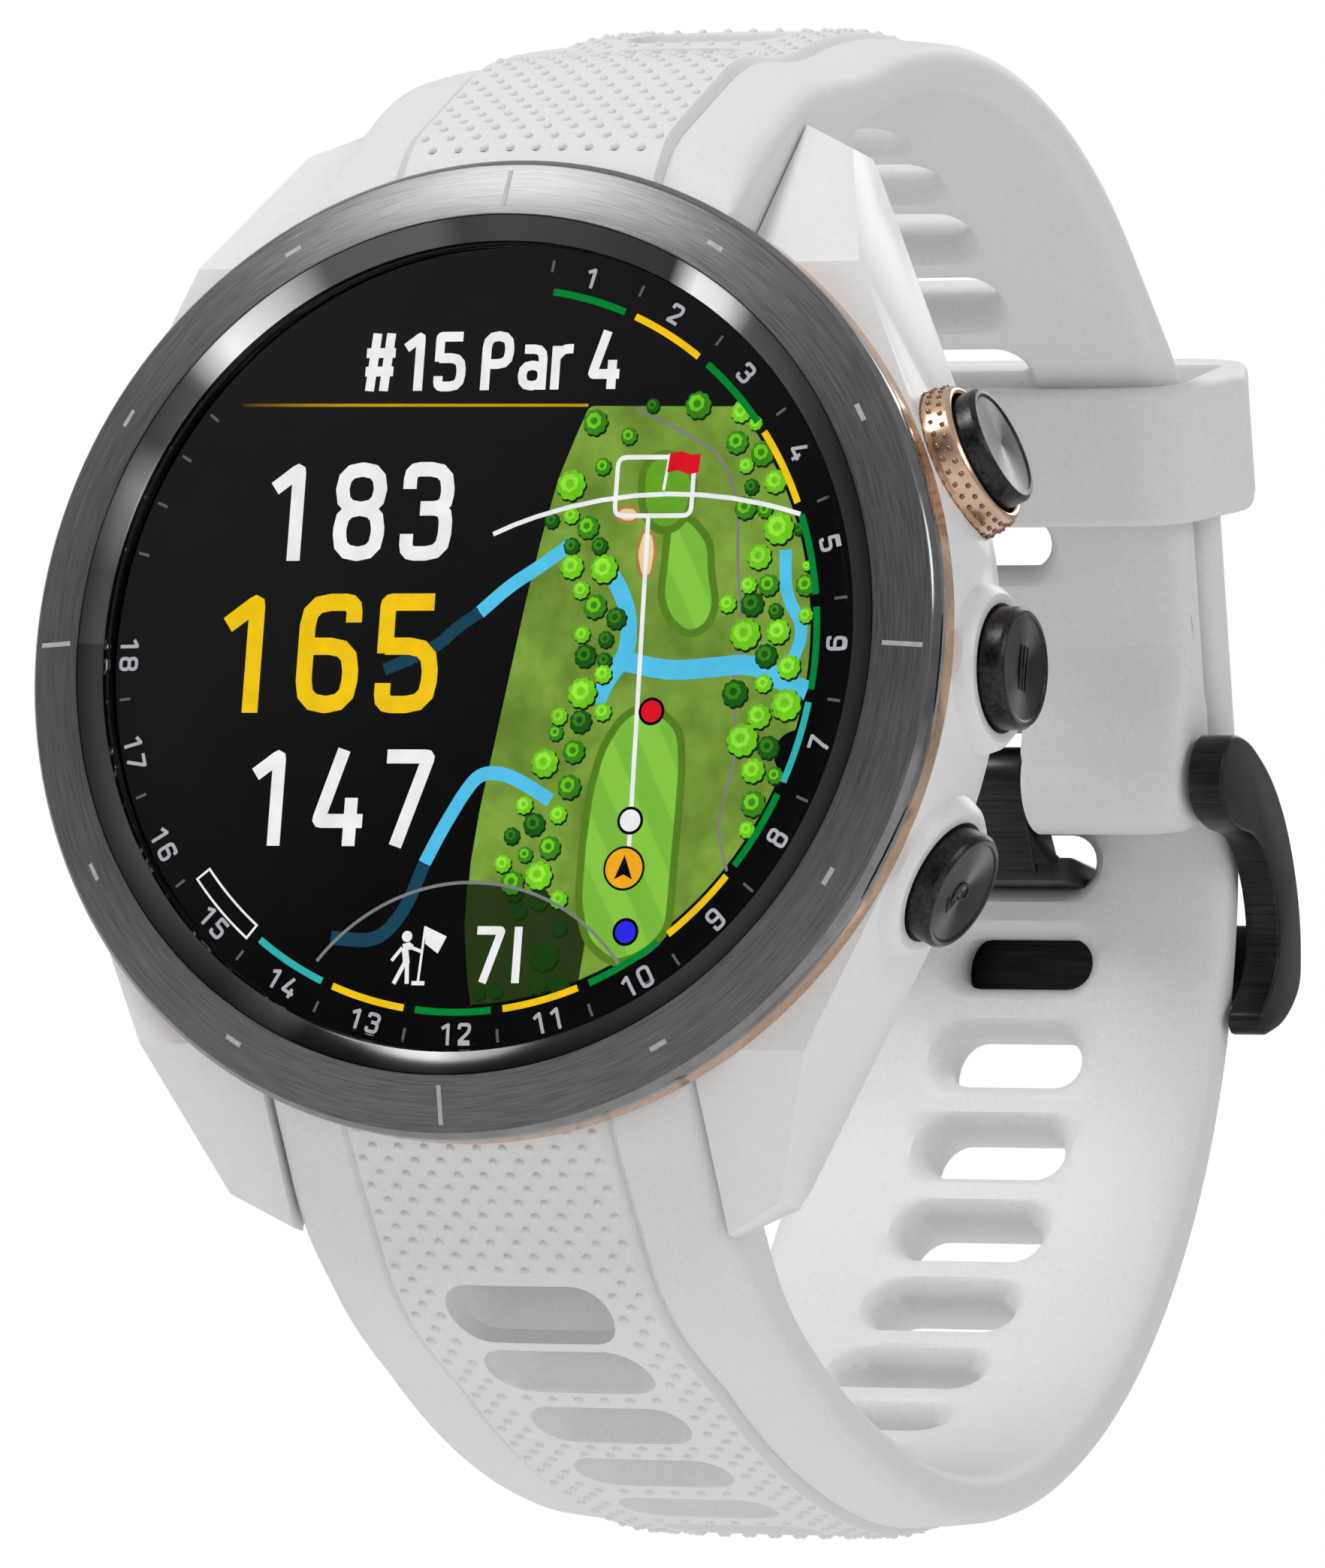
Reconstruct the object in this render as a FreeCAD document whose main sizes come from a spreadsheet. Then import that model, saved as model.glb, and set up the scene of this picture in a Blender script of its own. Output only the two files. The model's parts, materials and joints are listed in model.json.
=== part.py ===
import FreeCAD, Part
import math
import os
import Sketcher
from FreeCAD import Placement, Rotation, Vector

# A round sports watch closed on its silicone strap. X points to 3 o'clock, Z to 12 o'clock and
# Y from the face to the wrist. Every sub-part is drawn in the face frame, whose origin is the
# middle of the lens surface, and its Placement moves it so that the model's origin is the middle
# of the case back. Lengths are millimetres and angles degrees.

DIMENSIONS = {
    # case stack, as depths behind the lens surface
    "face_depth": 11.85,
    "bezel_depth": 1.5,
    "case_front": 2.5,
    "case_back": 10.2,
    "button_depth": 6.0,
    # bezel and lens
    "lens_radius": 17.3,
    "lens_gap": 0.1,
    "lens_thickness": 1.3,
    "gasket_thickness": 0.3,
    "gasket_width": 0.7,
    "edge_step": 0.05,
    "bezel_rise": 0.35,
    "bezel_peak_radius": 18.43,
    "bezel_slope_radius": 20.75,
    "bezel_slope_depth": 0.46,
    "bezel_radius": 21.0,
    "bezel_corner_depth": 0.85,
    "bezel_ledge_radius": 16.5,
    "spigot_radius": 18.6,
    "spigot_wall": 0.7,
    "spigot_length": 0.9,
    "fit_gap": 0.1,
    # case barrel and lugs
    "case_bulge": 0.25,
    "case_shoulder": 1.4,
    "case_turn": 2.6,
    "cavity_radius": 16.4,
    "chassis_radius": 17.1,
    "chassis_thickness": 0.5,
    "back_ledge_radius": 14.9,
    "back_ledge_front": 7.9,
    "back_recess_front": 9.3,
    "back_recess_radius": 17.05,
    "lug_gap": 20.3,
    "gap_start": 6.0,
    "lug_tip_width": 25.6,
    "lug_shoulder_angle": 26.3,
    "lug_corner_height": 22.6,
    "lug_tip_height": 23.9,
    "lug_slope_start": 16.8,
    "lug_tip_depth": 8.0,
    "lug_back": 9.4,
    "lug_back_rise": 0.9,
    "lug_back_ease": 0.5,
    "strap_wall_radius": 19.3,
    # buttons, as distances from the dial axis
    "action_angle": 24.5,
    "menu_angle": 0.0,
    "back_angle": -24.8,
    "action_face": 23.2,
    "cap_face": 22.8,
    "cap_radius": 2.6,
    "cap_chamfer": 0.25,
    "cap_bottom": 20.35,
    "cap_clearance": 0.15,
    "button_floor": 19.3,
    "stem_radius": 1.0,
    "stem_clearance": 0.05,
    "stem_inset": 0.9,
    "clip_inset": 0.35,
    "clip_play": 0.03,
    "clip_neck": 0.28,
    "clip_groove": 0.4,
    "clip_radius": 1.5,
    "collar_wall": 0.55,
    "collar_face": 21.7,
    "collar_ease": 0.35,
    "collar_root_wall": 1.55,
    "guard_seat": 20.2,
    "guard_face": 22.3,
    "guard_base_wall": 0.75,
    "guard_face_wall": 0.45,
    "guard_ease": 0.1,
    "guard_band": 1.1,
    "button_travel": 0.45,
    "seal_height": 0.5,
    "seal_radius": 1.5,
    "spring_radius": 2.0,
    "spring_wire": 0.18,
    # inside the case
    "display_radius": 16.2,
    "display_thickness": 0.9,
    "shield_side": 9.0,
    "shield_thickness": 0.9,
    "board_gap": 1.1,
    "board_thickness": 0.6,
    "battery_width": 14.0,
    "battery_height": 22.0,
    "battery_thickness": 3.4,
    "battery_gap": 0.3,
    "motor_radius": 3.6,
    "motor_thickness": 2.4,
    "motor_gap": 1.6,
    "antenna_width": 0.7,
    "antenna_thickness": 0.8,
    "flex_gap": 3.5,
    "flex_thickness": 0.3,
    "flex_height": 2.8,
    "flex_reach": 34.0,
    "switch_side": 2.6,
    # back of the case
    "cover_rim_depth": 10.45,
    "cover_edge_radius": 15.6,
    "cover_edge_depth": 11.0,
    "window_radius": 9.1,
    "window_dome_radius": 7.2,
    "window_rim_depth": 11.4,
    "sensor_board_radius": 8.0,
    "screw_circle": 15.75,
    "screw_angle": 40.0,
    "screw_radius": 0.5,
    "screw_head_radius": 0.95,
    "screw_head_height": 0.6,
    "screw_floor": 0.3,
    "screw_play": 0.03,
    "port_width": 7.0,
    "port_height": 2.4,
    "port_drop": 12.4,
    "contact_radius": 0.4,
    "contact_play": 0.02,
    "contact_rise": 0.15,
    "contact_pitch": 1.6,
    # strap
    "strap_width": 20.0,
    "panel_width": 12.0,
    "edge_thickness": 2.3,
    "panel_thickness": 3.1,
    "strap_gap": 0.25,
    "head_front": 2.75,
    "head_clearance": 0.15,
    "slot_width": 6.8,
    "slot_height": 2.6,
    "slot_corner": 1.17,
    "tip_slots": 4,
    "head_slots": 1,
    "long_slot_pitch": 4.85,
    "short_slot_pitch": 4.65,
    "short_end_slot": 11.0,
    "buckle_angle": 20.0,
    "free_end_length": 16.5,
    "tongue_slot_angle": 7.3,
    "tip_radius": 7.0,
    # spring bars
    "bar_depth": 8.3,
    "bar_height": 21.6,
    "bar_radius": 0.75,
    "bar_bore": 0.48,
    "bar_bore_start": 1.0,
    "plunger_length": 2.4,
    "bar_half_length": 9.3,
    "bar_spring_radius": 0.32,
    "bar_spring_wire": 0.09,
    "bar_tip_radius": 0.42,
    "bar_tip_reach": 11.5,
    "lug_hole_radius": 0.47,
    "lug_hole_reach": 11.8,
    "release_travel": 1.4,
    "lever_place": 7.4,
    "lever_radius": 0.4,
    "lever_reach": 3.2,
    # buckle and keeper
    "knuckle_radius": 2.5,
    "knuckle_gap": 4.6,
    "knuckle_relief": 3.2,
    "pin_radius": 0.7,
    "pin_clearance": 0.05,
    "pin_inset": 0.2,
    "pin_recess": 0.3,
    "buckle_width": 24.0,
    "buckle_opening": 20.6,
    "buckle_room": 3.1,
    "hub_radius": 2.25,
    "tongue_hub_radius": 1.5,
    "tongue_width": 5.9,
    "tongue_root_width": 3.9,
    "keeper_length": 5.8,
    "keeper_wall": 1.3,
    "keeper_clearance": 0.3,
    "keeper_side": 1.75,
    "keeper_lead": 1.5,
    "keeper_facet": 0.6,
}

# How far a cutting shape runs past the piece that it cuts, and how far a strap tool reaches
# to each side of the strap's inner face.
BEYOND = 1.0
TOOL_REACH = 7.0

# Side outlines of the strap heads, as (depth, height) pairs seen from 3 o'clock, both counted
# away from the dial axis: the band between the lugs and the raised panel down its middle.
LOWER_KNEES = ((11.0, 25.8), (9.6, 26.7))
UPPER_KNEES = ((11.0, 26.2), (9.8, 27.1))
HEAD_UNDERSIDE = ((10.8, 20.2), (9.8, 17.1))
HEAD_TOP_HEIGHT = 17.1
PANEL_TOP_HEIGHT = 19.6

# Inner face of each strap half as (radius, turn) arcs and ("run", length) straights.
LOWER_START = (12.6, -22.5, -45.0)
LOWER_ARCS = (("run", 2.0), (12.3, 20.0), (42.2, 22.0))
LOWER_JOIN = 6.3
UPPER_START = (12.37, 23.14, 34.9)
UPPER_ARCS = (("run", 1.5), (27.5, -67.9), ("run", 6.5), (5.0, -37.1), ("run", 15.6))
UPPER_JOIN = 4.5

# Side outlines of the buckle, as (depth, height) pairs from the pin, drawn round a strap as
# thick as buckle_room.
BUCKLE_MIDDLE = 4.5
ARM_OUTLINE = (
    (-1.2, 2.0), (1.0, 2.1), (4.0, 1.0), (6.2, -0.7), (7.9, -3.0), (9.0, -5.4), (9.4, -7.9),
    (8.6, -9.1), (7.4, -10.1), (5.2, -11.0), (4.6, -10.2), (6.2, -8.2), (6.4, -6.0), (5.2, -3.6),
    (2.8, -2.0), (0.6, -2.2), (-1.6, -1.6), (-2.2, 0.4),
)
ARM_SPACE = ((-4.0, -14.0), (12.0, -14.0), (12.0, 5.0), (-4.0, 5.0))
CROSSBAR_OUTLINE = ((7.65, -5.4), (9.0, -5.4), (9.4, -7.9), (8.6, -9.1), (7.8, -9.3))
TONGUE_ROOT_OUTLINE = ((-1.2, -0.9), (1.0, -4.4), (3.6, -4.4), (3.6, -3.1), (1.3, -0.7))
TONGUE_BLADE_OUTLINE = ((0.9, -3.5), (1.2, -4.45), (7.9, -4.05), (8.2, -3.15), (3.0, -3.1))


class Size:
    """A length with its value and the spreadsheet formula that gives it."""

    def __init__(self, value, formula):
        self.value = value
        self.formula = formula

    def combine(self, other, sign, result):
        other = other if isinstance(other, Size) else Size(other, repr(other))
        return Size(result(self.value, other.value), f"({self.formula} {sign} {other.formula})")

    def __add__(self, other):
        return self.combine(other, "+", lambda a, b: a + b)

    def __sub__(self, other):
        return self.combine(other, "-", lambda a, b: a - b)

    def __mul__(self, other):
        return self.combine(other, "*", lambda a, b: a * b)

    def __truediv__(self, other):
        return self.combine(other, "/", lambda a, b: a / b)

    def __neg__(self):
        return Size(-self.value, f"(0 - {self.formula})")


def make_sheet(document):
    sheet = document.addObject("Spreadsheet::Sheet", "Dims")
    for row, (name, value) in enumerate(DIMENSIONS.items(), start=1):
        sheet.set(f"A{row}", name)
        sheet.set(f"B{row}", str(value))
        sheet.setAlias(f"B{row}", name)
    document.recompute()
    return sheet


doc = FreeCAD.newDocument("watch")
sheet = make_sheet(doc)
dim = {name: Size(sheet.get(name), f"Dims.{name}") for name in DIMENSIONS}
mm = {name: size.value for name, size in dim.items()}
ZERO = Size(0.0, "0")
subparts = []


def cosine(angle):
    return Size(math.cos(math.radians(angle.value)), f"cos({angle.formula} * 1 deg)")


def sine(angle):
    return Size(math.sin(math.radians(angle.value)), f"sin({angle.formula} * 1 deg)")


def bind(item, **sizes):
    for attribute, size in sizes.items():
        item.setExpression(attribute.replace("__", "."), size.formula)


def seat(item, x=ZERO, depth=ZERO, z=ZERO):
    """Moves an item from the face frame to the model's frame, by x, depth and z."""
    bind(item, Placement__Base__x=x, Placement__Base__y=depth - dim["face_depth"],
         Placement__Base__z=z)


def keep(item, label):
    item.Label = label
    subparts.append(item)
    return item


def new_body(label):
    return keep(doc.addObject("PartDesign::Body", label + "_body"), label)


def origin_plane(body, role):
    return next(plane for plane in body.Origin.OriginFeatures if plane.Role == role)


def new_sketch(body, role, offset=ZERO):
    sketch = body.newObject("Sketcher::SketchObject", body.Label + "_sketch")
    sketch.AttachmentSupport = [(origin_plane(body, role), "")]
    sketch.MapMode = "FlatFace"
    if offset is not ZERO:
        bind(sketch, AttachmentOffset__Base__z=offset)
    return sketch


def outline(body, role, corners, offset=ZERO):
    """A closed polygon sketch whose corners are pairs of sizes."""
    sketch = new_sketch(body, role, offset)
    points = [Vector(x.value, y.value, 0) for x, y in corners]
    for start, end in zip(points, points[1:] + points[:1]):
        sketch.addGeometry(Part.LineSegment(start, end), False)
    for line, (x, y) in enumerate(corners):
        sketch.addConstraint(Sketcher.Constraint("Coincident", line - 1 if line else
                                                 len(corners) - 1, 2, line, 1))
        for direction, size in (("DistanceX", x), ("DistanceY", y)):
            index = sketch.addConstraint(
                Sketcher.Constraint(direction, -1, 1, line, 1, size.value))
            if size.formula != "0":
                sketch.setExpression(f"Constraints[{index}]", size.formula)
    return sketch


def circle(body, role, x, y, radius):
    sketch = new_sketch(body, role)
    sketch.addGeometry(Part.Circle(Vector(x.value, y.value, 0), Vector(0, 0, 1), radius.value))
    for direction, size in (("DistanceX", x), ("DistanceY", y)):
        index = sketch.addConstraint(Sketcher.Constraint(direction, -1, 1, 0, 3, size.value))
        if size.formula != "0":
            sketch.setExpression(f"Constraints[{index}]", size.formula)
    index = sketch.addConstraint(Sketcher.Constraint("Radius", 0, radius.value))
    sketch.setExpression(f"Constraints[{index}]", radius.formula)
    return sketch


def turn_profile(body, sketch, kind="PartDesign::Revolution", axis="V_Axis"):
    feature = body.newObject(kind, body.Label + "_turn")
    feature.Profile = sketch
    feature.ReferenceAxis = (sketch, [axis])
    feature.Angle = 360
    sketch.Visibility = False
    return feature


def pad(body, sketch, length, midplane=True, reverse=False, kind="PartDesign::Pad"):
    feature = body.newObject(kind, body.Label + "_pad")
    feature.Profile = sketch
    feature.Midplane = midplane
    feature.Reversed = reverse
    bind(feature, Length=length)
    return feature


def turned(label, corners):
    """A round piece about the dial axis, from (radius, depth) corners."""
    body = new_body(label)
    turn_profile(body, outline(body, "XY_Plane", corners))
    seat(body)
    return body


def ring_corners(inner, outer, front, back):
    return [(inner, front), (outer, front), (outer, back), (inner, back)]


# ---- Bezel, lens and display ----

lens_seat = dim["lens_radius"] + dim["lens_gap"]
ledge_front = dim["lens_thickness"] + dim["gasket_thickness"]
bezel_bottom = dim["case_front"]


def make_bezel():
    spigot_inner = dim["spigot_radius"] - dim["spigot_wall"]
    spigot_end = bezel_bottom + dim["spigot_length"]
    turned("bezel", [
        (lens_seat, dim["edge_step"]),
        (dim["bezel_peak_radius"], -dim["bezel_rise"]),
        (dim["bezel_slope_radius"], dim["bezel_slope_depth"]),
        (dim["bezel_radius"], dim["bezel_corner_depth"]),
        (dim["bezel_radius"], dim["bezel_depth"]),
        (dim["spigot_radius"], dim["bezel_depth"]),
        (dim["spigot_radius"], spigot_end),
        (spigot_inner, spigot_end),
        (spigot_inner, bezel_bottom),
        (dim["bezel_ledge_radius"], bezel_bottom),
        (dim["bezel_ledge_radius"], ledge_front),
        (lens_seat, ledge_front),
    ])
    turned("accent_ring", ring_corners(
        dim["spigot_radius"] + dim["fit_gap"], dim["bezel_radius"] - dim["edge_step"],
        dim["bezel_depth"], bezel_bottom))


def make_lens_and_display():
    lens_back = dim["lens_thickness"]
    display_back = lens_back + dim["display_thickness"]
    turned("lens_glass", ring_corners(ZERO, dim["lens_radius"], ZERO, lens_back))
    turned("lens_gasket", ring_corners(
        dim["lens_radius"] - dim["gasket_width"], dim["lens_radius"], lens_back, ledge_front))
    turned("display_panel", ring_corners(ZERO, dim["display_radius"], lens_back, display_back))


# ---- Case body ----

def lug_hull_corners():
    half_gap = dim["lug_gap"] / 2
    half_tip = dim["lug_tip_width"] / 2
    shoulder = dim["lug_shoulder_angle"]
    quarter = [
        (dim["bezel_radius"] * cosine(shoulder), dim["bezel_radius"] * sine(shoulder)),
        (half_tip, dim["lug_corner_height"]),
        (half_gap, dim["lug_tip_height"]),
    ]
    top = quarter + [(-x, z) for x, z in reversed(quarter)]
    return top + [(x, -z) for x, z in reversed(top)]


def lug_slope_corners(side):
    """The wedge in front of one pair of lugs, side +1 at 12 o'clock and -1 at 6 o'clock."""
    beyond = dim["lug_tip_height"] + BEYOND
    run = dim["lug_tip_height"] - dim["lug_slope_start"]
    slope = (dim["lug_tip_depth"] - dim["case_front"]) / run
    front = dim["case_front"] - BEYOND
    corners = [
        (front, dim["lug_slope_start"] - (dim["case_front"] - front) / slope),
        (dim["lug_tip_depth"] + slope * BEYOND, beyond),
        (front, beyond),
    ]
    return [(depth, height * side) for depth, height in corners]


def lug_underside_corners(side):
    beyond = dim["lug_tip_height"] + BEYOND
    below = dim["lug_back"] + BEYOND
    start = dim["lug_corner_height"] - dim["lug_back_rise"]
    corners = [
        (dim["lug_back"] - dim["lug_back_rise"], beyond),
        (dim["lug_back"] - dim["lug_back_ease"], dim["lug_tip_height"]),
        (dim["lug_back"], start),
        (below, start),
        (below, beyond),
    ]
    return [(depth, height * side) for depth, height in corners]


def strap_gap_box(side):
    """The space between one pair of lugs, before the round wall behind the strap is kept."""
    start = dim["gap_start"] if side > 0 else -dim["gap_start"] - dim["bezel_radius"]
    box = doc.addObject("Part::Box", "strap_gap_box")
    bind(box, Length=dim["lug_gap"], Width=dim["case_back"] + BEYOND,
         Height=dim["bezel_radius"], Placement__Base__x=-dim["lug_gap"] / 2,
         Placement__Base__y=dim["case_front"] - BEYOND,
         Placement__Base__z=start)
    return box


def button_hole_corners(guarded):
    wall = dim["cap_radius"] + dim["cap_clearance"]
    bore = dim["stem_radius"] + dim["stem_clearance"]
    beyond = dim["cap_face"] + BEYOND
    inside = dim["cavity_radius"] - BEYOND
    corners = [(inside, ZERO), (beyond, ZERO)]
    if guarded:
        seat_radius = dim["cap_radius"] + dim["guard_base_wall"]
        corners += [(beyond, seat_radius), (dim["guard_seat"], seat_radius),
                    (dim["guard_seat"], wall)]
    else:
        corners += [(beyond, wall)]
    return corners + [(dim["button_floor"], wall), (dim["button_floor"], bore), (inside, bore)]


def collar_corners():
    radius = dim["cap_radius"] + dim["collar_wall"]
    return [
        (dim["button_floor"], ZERO),
        (dim["collar_face"], ZERO),
        (dim["collar_face"], radius),
        (dim["collar_face"] - dim["collar_ease"], radius + dim["collar_ease"]),
        (dim["button_floor"], dim["cap_radius"] + dim["collar_root_wall"]),
    ]


def button_sketch(body, corners, angle):
    """A sketch through a button's axis, which leaves the dial axis at an angle from 3 o'clock."""
    sketch = outline(body, "XY_Plane", corners)
    sketch.AttachmentOffset = Placement(Vector(0, 0, 0), Rotation(Vector(0, -1, 0), 1))
    bind(sketch, AttachmentOffset__Base__y=dim["button_depth"])
    sketch.setExpression("AttachmentOffset.Rotation.Angle", f"{angle.formula} * 1 deg")
    return sketch


def make_case_body():
    body = doc.addObject("PartDesign::Body", "case_blank")
    bulge = dim["bezel_radius"] + dim["case_bulge"]
    turn_profile(body, outline(body, "XY_Plane", [
        (ZERO, dim["case_front"]),
        (dim["bezel_radius"] - dim["edge_step"], dim["case_front"]),
        (bulge - dim["edge_step"], dim["case_front"] + dim["case_shoulder"]),
        (bulge, dim["case_front"] + dim["case_shoulder"] * 2),
        (bulge - dim["case_bulge"], dim["case_back"] - dim["case_turn"]),
        (bulge - dim["case_turn"] / 3, dim["case_back"] - dim["case_turn"] / 2),
        (bulge - dim["case_turn"], dim["case_back"]),
        (ZERO, dim["case_back"]),
    ]))
    hull = outline(body, "XZ_Plane", lug_hull_corners(), offset=-dim["case_front"])
    pad(body, hull, dim["lug_back"] - dim["case_front"], midplane=False, reverse=True)
    through = dim["lug_tip_width"] * 2
    for side in (1, -1):
        for corners in (lug_slope_corners(side), lug_underside_corners(side)):
            pad(body, outline(body, "YZ_Plane", corners), through, kind="PartDesign::Pocket")
        pin = circle(body, "YZ_Plane", dim["bar_depth"], dim["bar_height"] * side,
                     dim["lug_hole_radius"])
        pad(body, pin, dim["lug_hole_reach"] * 2, kind="PartDesign::Pocket")
    for angle in (dim["menu_angle"], dim["back_angle"]):
        turn_profile(body, button_sketch(body, collar_corners(), angle), axis="H_Axis")
    rabbet_radius = dim["spigot_radius"] + dim["fit_gap"]
    rabbet_depth = dim["case_front"] + dim["spigot_length"] + dim["fit_gap"]
    chassis_wall = dim["chassis_radius"] + dim["fit_gap"]
    chassis_back = dim["case_front"] + dim["chassis_thickness"]
    beyond_front = dim["case_front"] - BEYOND
    beyond_back = dim["case_back"] + BEYOND
    beyond_rim = dim["bezel_radius"] + BEYOND
    turn_profile(body, outline(body, "XY_Plane", [
        (ZERO, beyond_front),
        (beyond_rim, beyond_front),
        (beyond_rim, dim["case_front"]),
        (rabbet_radius, dim["case_front"]),
        (rabbet_radius, rabbet_depth),
        (chassis_wall, rabbet_depth),
        (chassis_wall, chassis_back),
        (dim["cavity_radius"], chassis_back),
        (dim["cavity_radius"], dim["back_ledge_front"]),
        (dim["back_ledge_radius"], dim["back_ledge_front"]),
        (dim["back_ledge_radius"], dim["back_recess_front"]),
        (dim["back_recess_radius"], dim["back_recess_front"]),
        (dim["back_recess_radius"], beyond_back),
        (ZERO, beyond_back),
    ]), kind="PartDesign::Groove")
    for angle, guarded in ((dim["action_angle"], True), (dim["menu_angle"], False),
                           (dim["back_angle"], False)):
        turn_profile(body, button_sketch(body, button_hole_corners(guarded), angle),
                     kind="PartDesign::Groove", axis="H_Axis")
    case = doc.addObject("Part::Cut", "case_cut")
    case.Base = body
    case.Tool = make_case_gaps()
    keep(case, "case_body")
    seat(case)


def make_case_gaps():
    """Both strap gaps and the four blind screw holes, as one tool."""
    boxes = doc.addObject("Part::MultiFuse", "gap_boxes")
    boxes.Shapes = [strap_gap_box(side) for side in (1, -1)]
    wall = turning_cylinder("gap_wall", dim["strap_wall_radius"], dim["case_front"] - BEYOND,
                            dim["case_back"] + BEYOND)
    gaps = doc.addObject("Part::Cut", "strap_gaps")
    gaps.Base = boxes
    gaps.Tool = wall
    tool = doc.addObject("Part::MultiFuse", "case_gaps")
    tool.Shapes = [gaps] + screw_cylinders("screw_hole", dim["screw_radius"],
                                           dim["back_ledge_front"] + dim["screw_floor"],
                                           dim["back_recess_front"] + BEYOND)
    return tool


def turning_cylinder(name, radius, front, back, x=ZERO, z=ZERO):
    """A cylinder parallel to the dial axis between two depths."""
    cylinder = doc.addObject("Part::Cylinder", name)
    cylinder.Placement = Placement(Vector(0, 0, 0), Rotation(Vector(1, 0, 0), -90))
    bind(cylinder, Radius=radius, Height=back - front, Placement__Base__x=x,
         Placement__Base__y=front, Placement__Base__z=z)
    return cylinder


def screw_cylinders(name, radius, front, back):
    cylinders = []
    for across in (1, -1):
        for up in (1, -1):
            x = dim["screw_circle"] * sine(dim["screw_angle"]) * across
            z = dim["screw_circle"] * cosine(dim["screw_angle"]) * up
            cylinders.append(turning_cylinder(name, radius, front, back, x, z))
    return cylinders


# ---- Inside the case ----

def make_box(label, width, thickness, height, x, depth, z):
    """A block centred on x and z, with its front face at depth."""
    box = keep(doc.addObject("Part::Box", label + "_box"), label)
    bind(box, Length=width, Width=thickness, Height=height)
    seat(box, x - width / 2, depth, z - height / 2)
    return box


def make_electronics():
    chassis_back = dim["case_front"] + dim["chassis_thickness"]
    board_front = chassis_back + dim["shield_thickness"]
    board_back = board_front + dim["board_thickness"]
    turned("chassis_plate", ring_corners(
        ZERO, dim["chassis_radius"], dim["case_front"], chassis_back))
    turned("gps_antenna", ring_corners(
        dim["cavity_radius"] - dim["fit_gap"] - dim["antenna_width"],
        dim["cavity_radius"] - dim["fit_gap"], chassis_back,
        chassis_back + dim["antenna_thickness"]))
    turned("main_board", ring_corners(ZERO, dim["cavity_radius"] - dim["board_gap"],
                                      board_front, board_back))
    make_box("processor_shield", dim["shield_side"], dim["shield_thickness"],
             dim["shield_side"], ZERO, chassis_back, ZERO)
    make_box("battery", dim["battery_width"], dim["battery_thickness"], dim["battery_height"],
             ZERO, board_back + dim["battery_gap"], ZERO)
    motor = turning_cylinder("motor_can", dim["motor_radius"], board_back,
                             board_back + dim["motor_thickness"])
    seat(keep(motor, "vibration_motor"), x=dim["motor_radius"] + dim["motor_gap"] - dim["cavity_radius"],
         depth=board_back)


# ---- Buttons ----

stem_end = dim["cavity_radius"] - dim["stem_inset"]

def radial(label, corners, angle):
    """A round piece about a button's axis, from (distance from dial axis, radius) corners."""
    body = new_body(label)
    turn_profile(body, outline(body, "XY_Plane", corners), axis="H_Axis")
    aim(body, angle)
    return body


def aim(item, angle):
    item.Placement = Placement(Vector(0, 0, 0), Rotation(Vector(0, -1, 0), 1))
    seat(item, depth=dim["button_depth"])
    item.setExpression("Placement.Rotation.Angle", f"{angle.formula} * 1 deg")


def button_corners(face):
    groove_start = stem_end + dim["clip_inset"]
    groove_end = groove_start + dim["clip_groove"]
    groove_radius = dim["stem_radius"] - dim["clip_neck"] - dim["clip_play"]
    return [
        (stem_end, ZERO),
        (face, ZERO),
        (face, dim["cap_radius"] - dim["cap_chamfer"]),
        (face - dim["cap_chamfer"], dim["cap_radius"]),
        (dim["cap_bottom"], dim["cap_radius"]),
        (dim["cap_bottom"], dim["stem_radius"]),
        (groove_end, dim["stem_radius"]),
        (groove_end, groove_radius),
        (groove_start, groove_radius),
        (groove_start, dim["stem_radius"]),
        (stem_end, dim["stem_radius"]),
    ]


def along_x(start):
    """Lays a coil that was wound up its Z axis along X, from a start point."""
    return Placement(Vector(start, 0, 0), Rotation(Vector(0, 1, 0), 90))


def make_coil(label, length, radius, wire, turns):
    """A coil spring wound up its own Z axis, with its lower end at the origin."""
    pitch = (length - 2 * wire) / turns
    helix = Part.makeHelix(pitch, length - 2 * wire, radius)
    ring = Part.Wire(Part.makeCircle(wire, Vector(radius, 0, 0), Vector(0, 1, 0)))
    item = keep(doc.addObject("Part::Feature", label + "_coil"), label)
    item.Shape = Part.Wire(helix.Edges).makePipeShell([ring], True, True)
    return item


def make_button_spring(label, angle):
    """The return spring, seated on the floor of the button's recess."""
    spring = make_coil(label, mm["cap_bottom"] - mm["button_floor"], mm["spring_radius"],
                       mm["spring_wire"], 2)
    axis = Placement(Vector(0, mm["button_depth"] - mm["face_depth"], 0),
                     Rotation(Vector(0, -1, 0), angle.value))
    spring.Placement = axis.multiply(along_x(mm["button_floor"] + mm["spring_wire"]))


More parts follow.
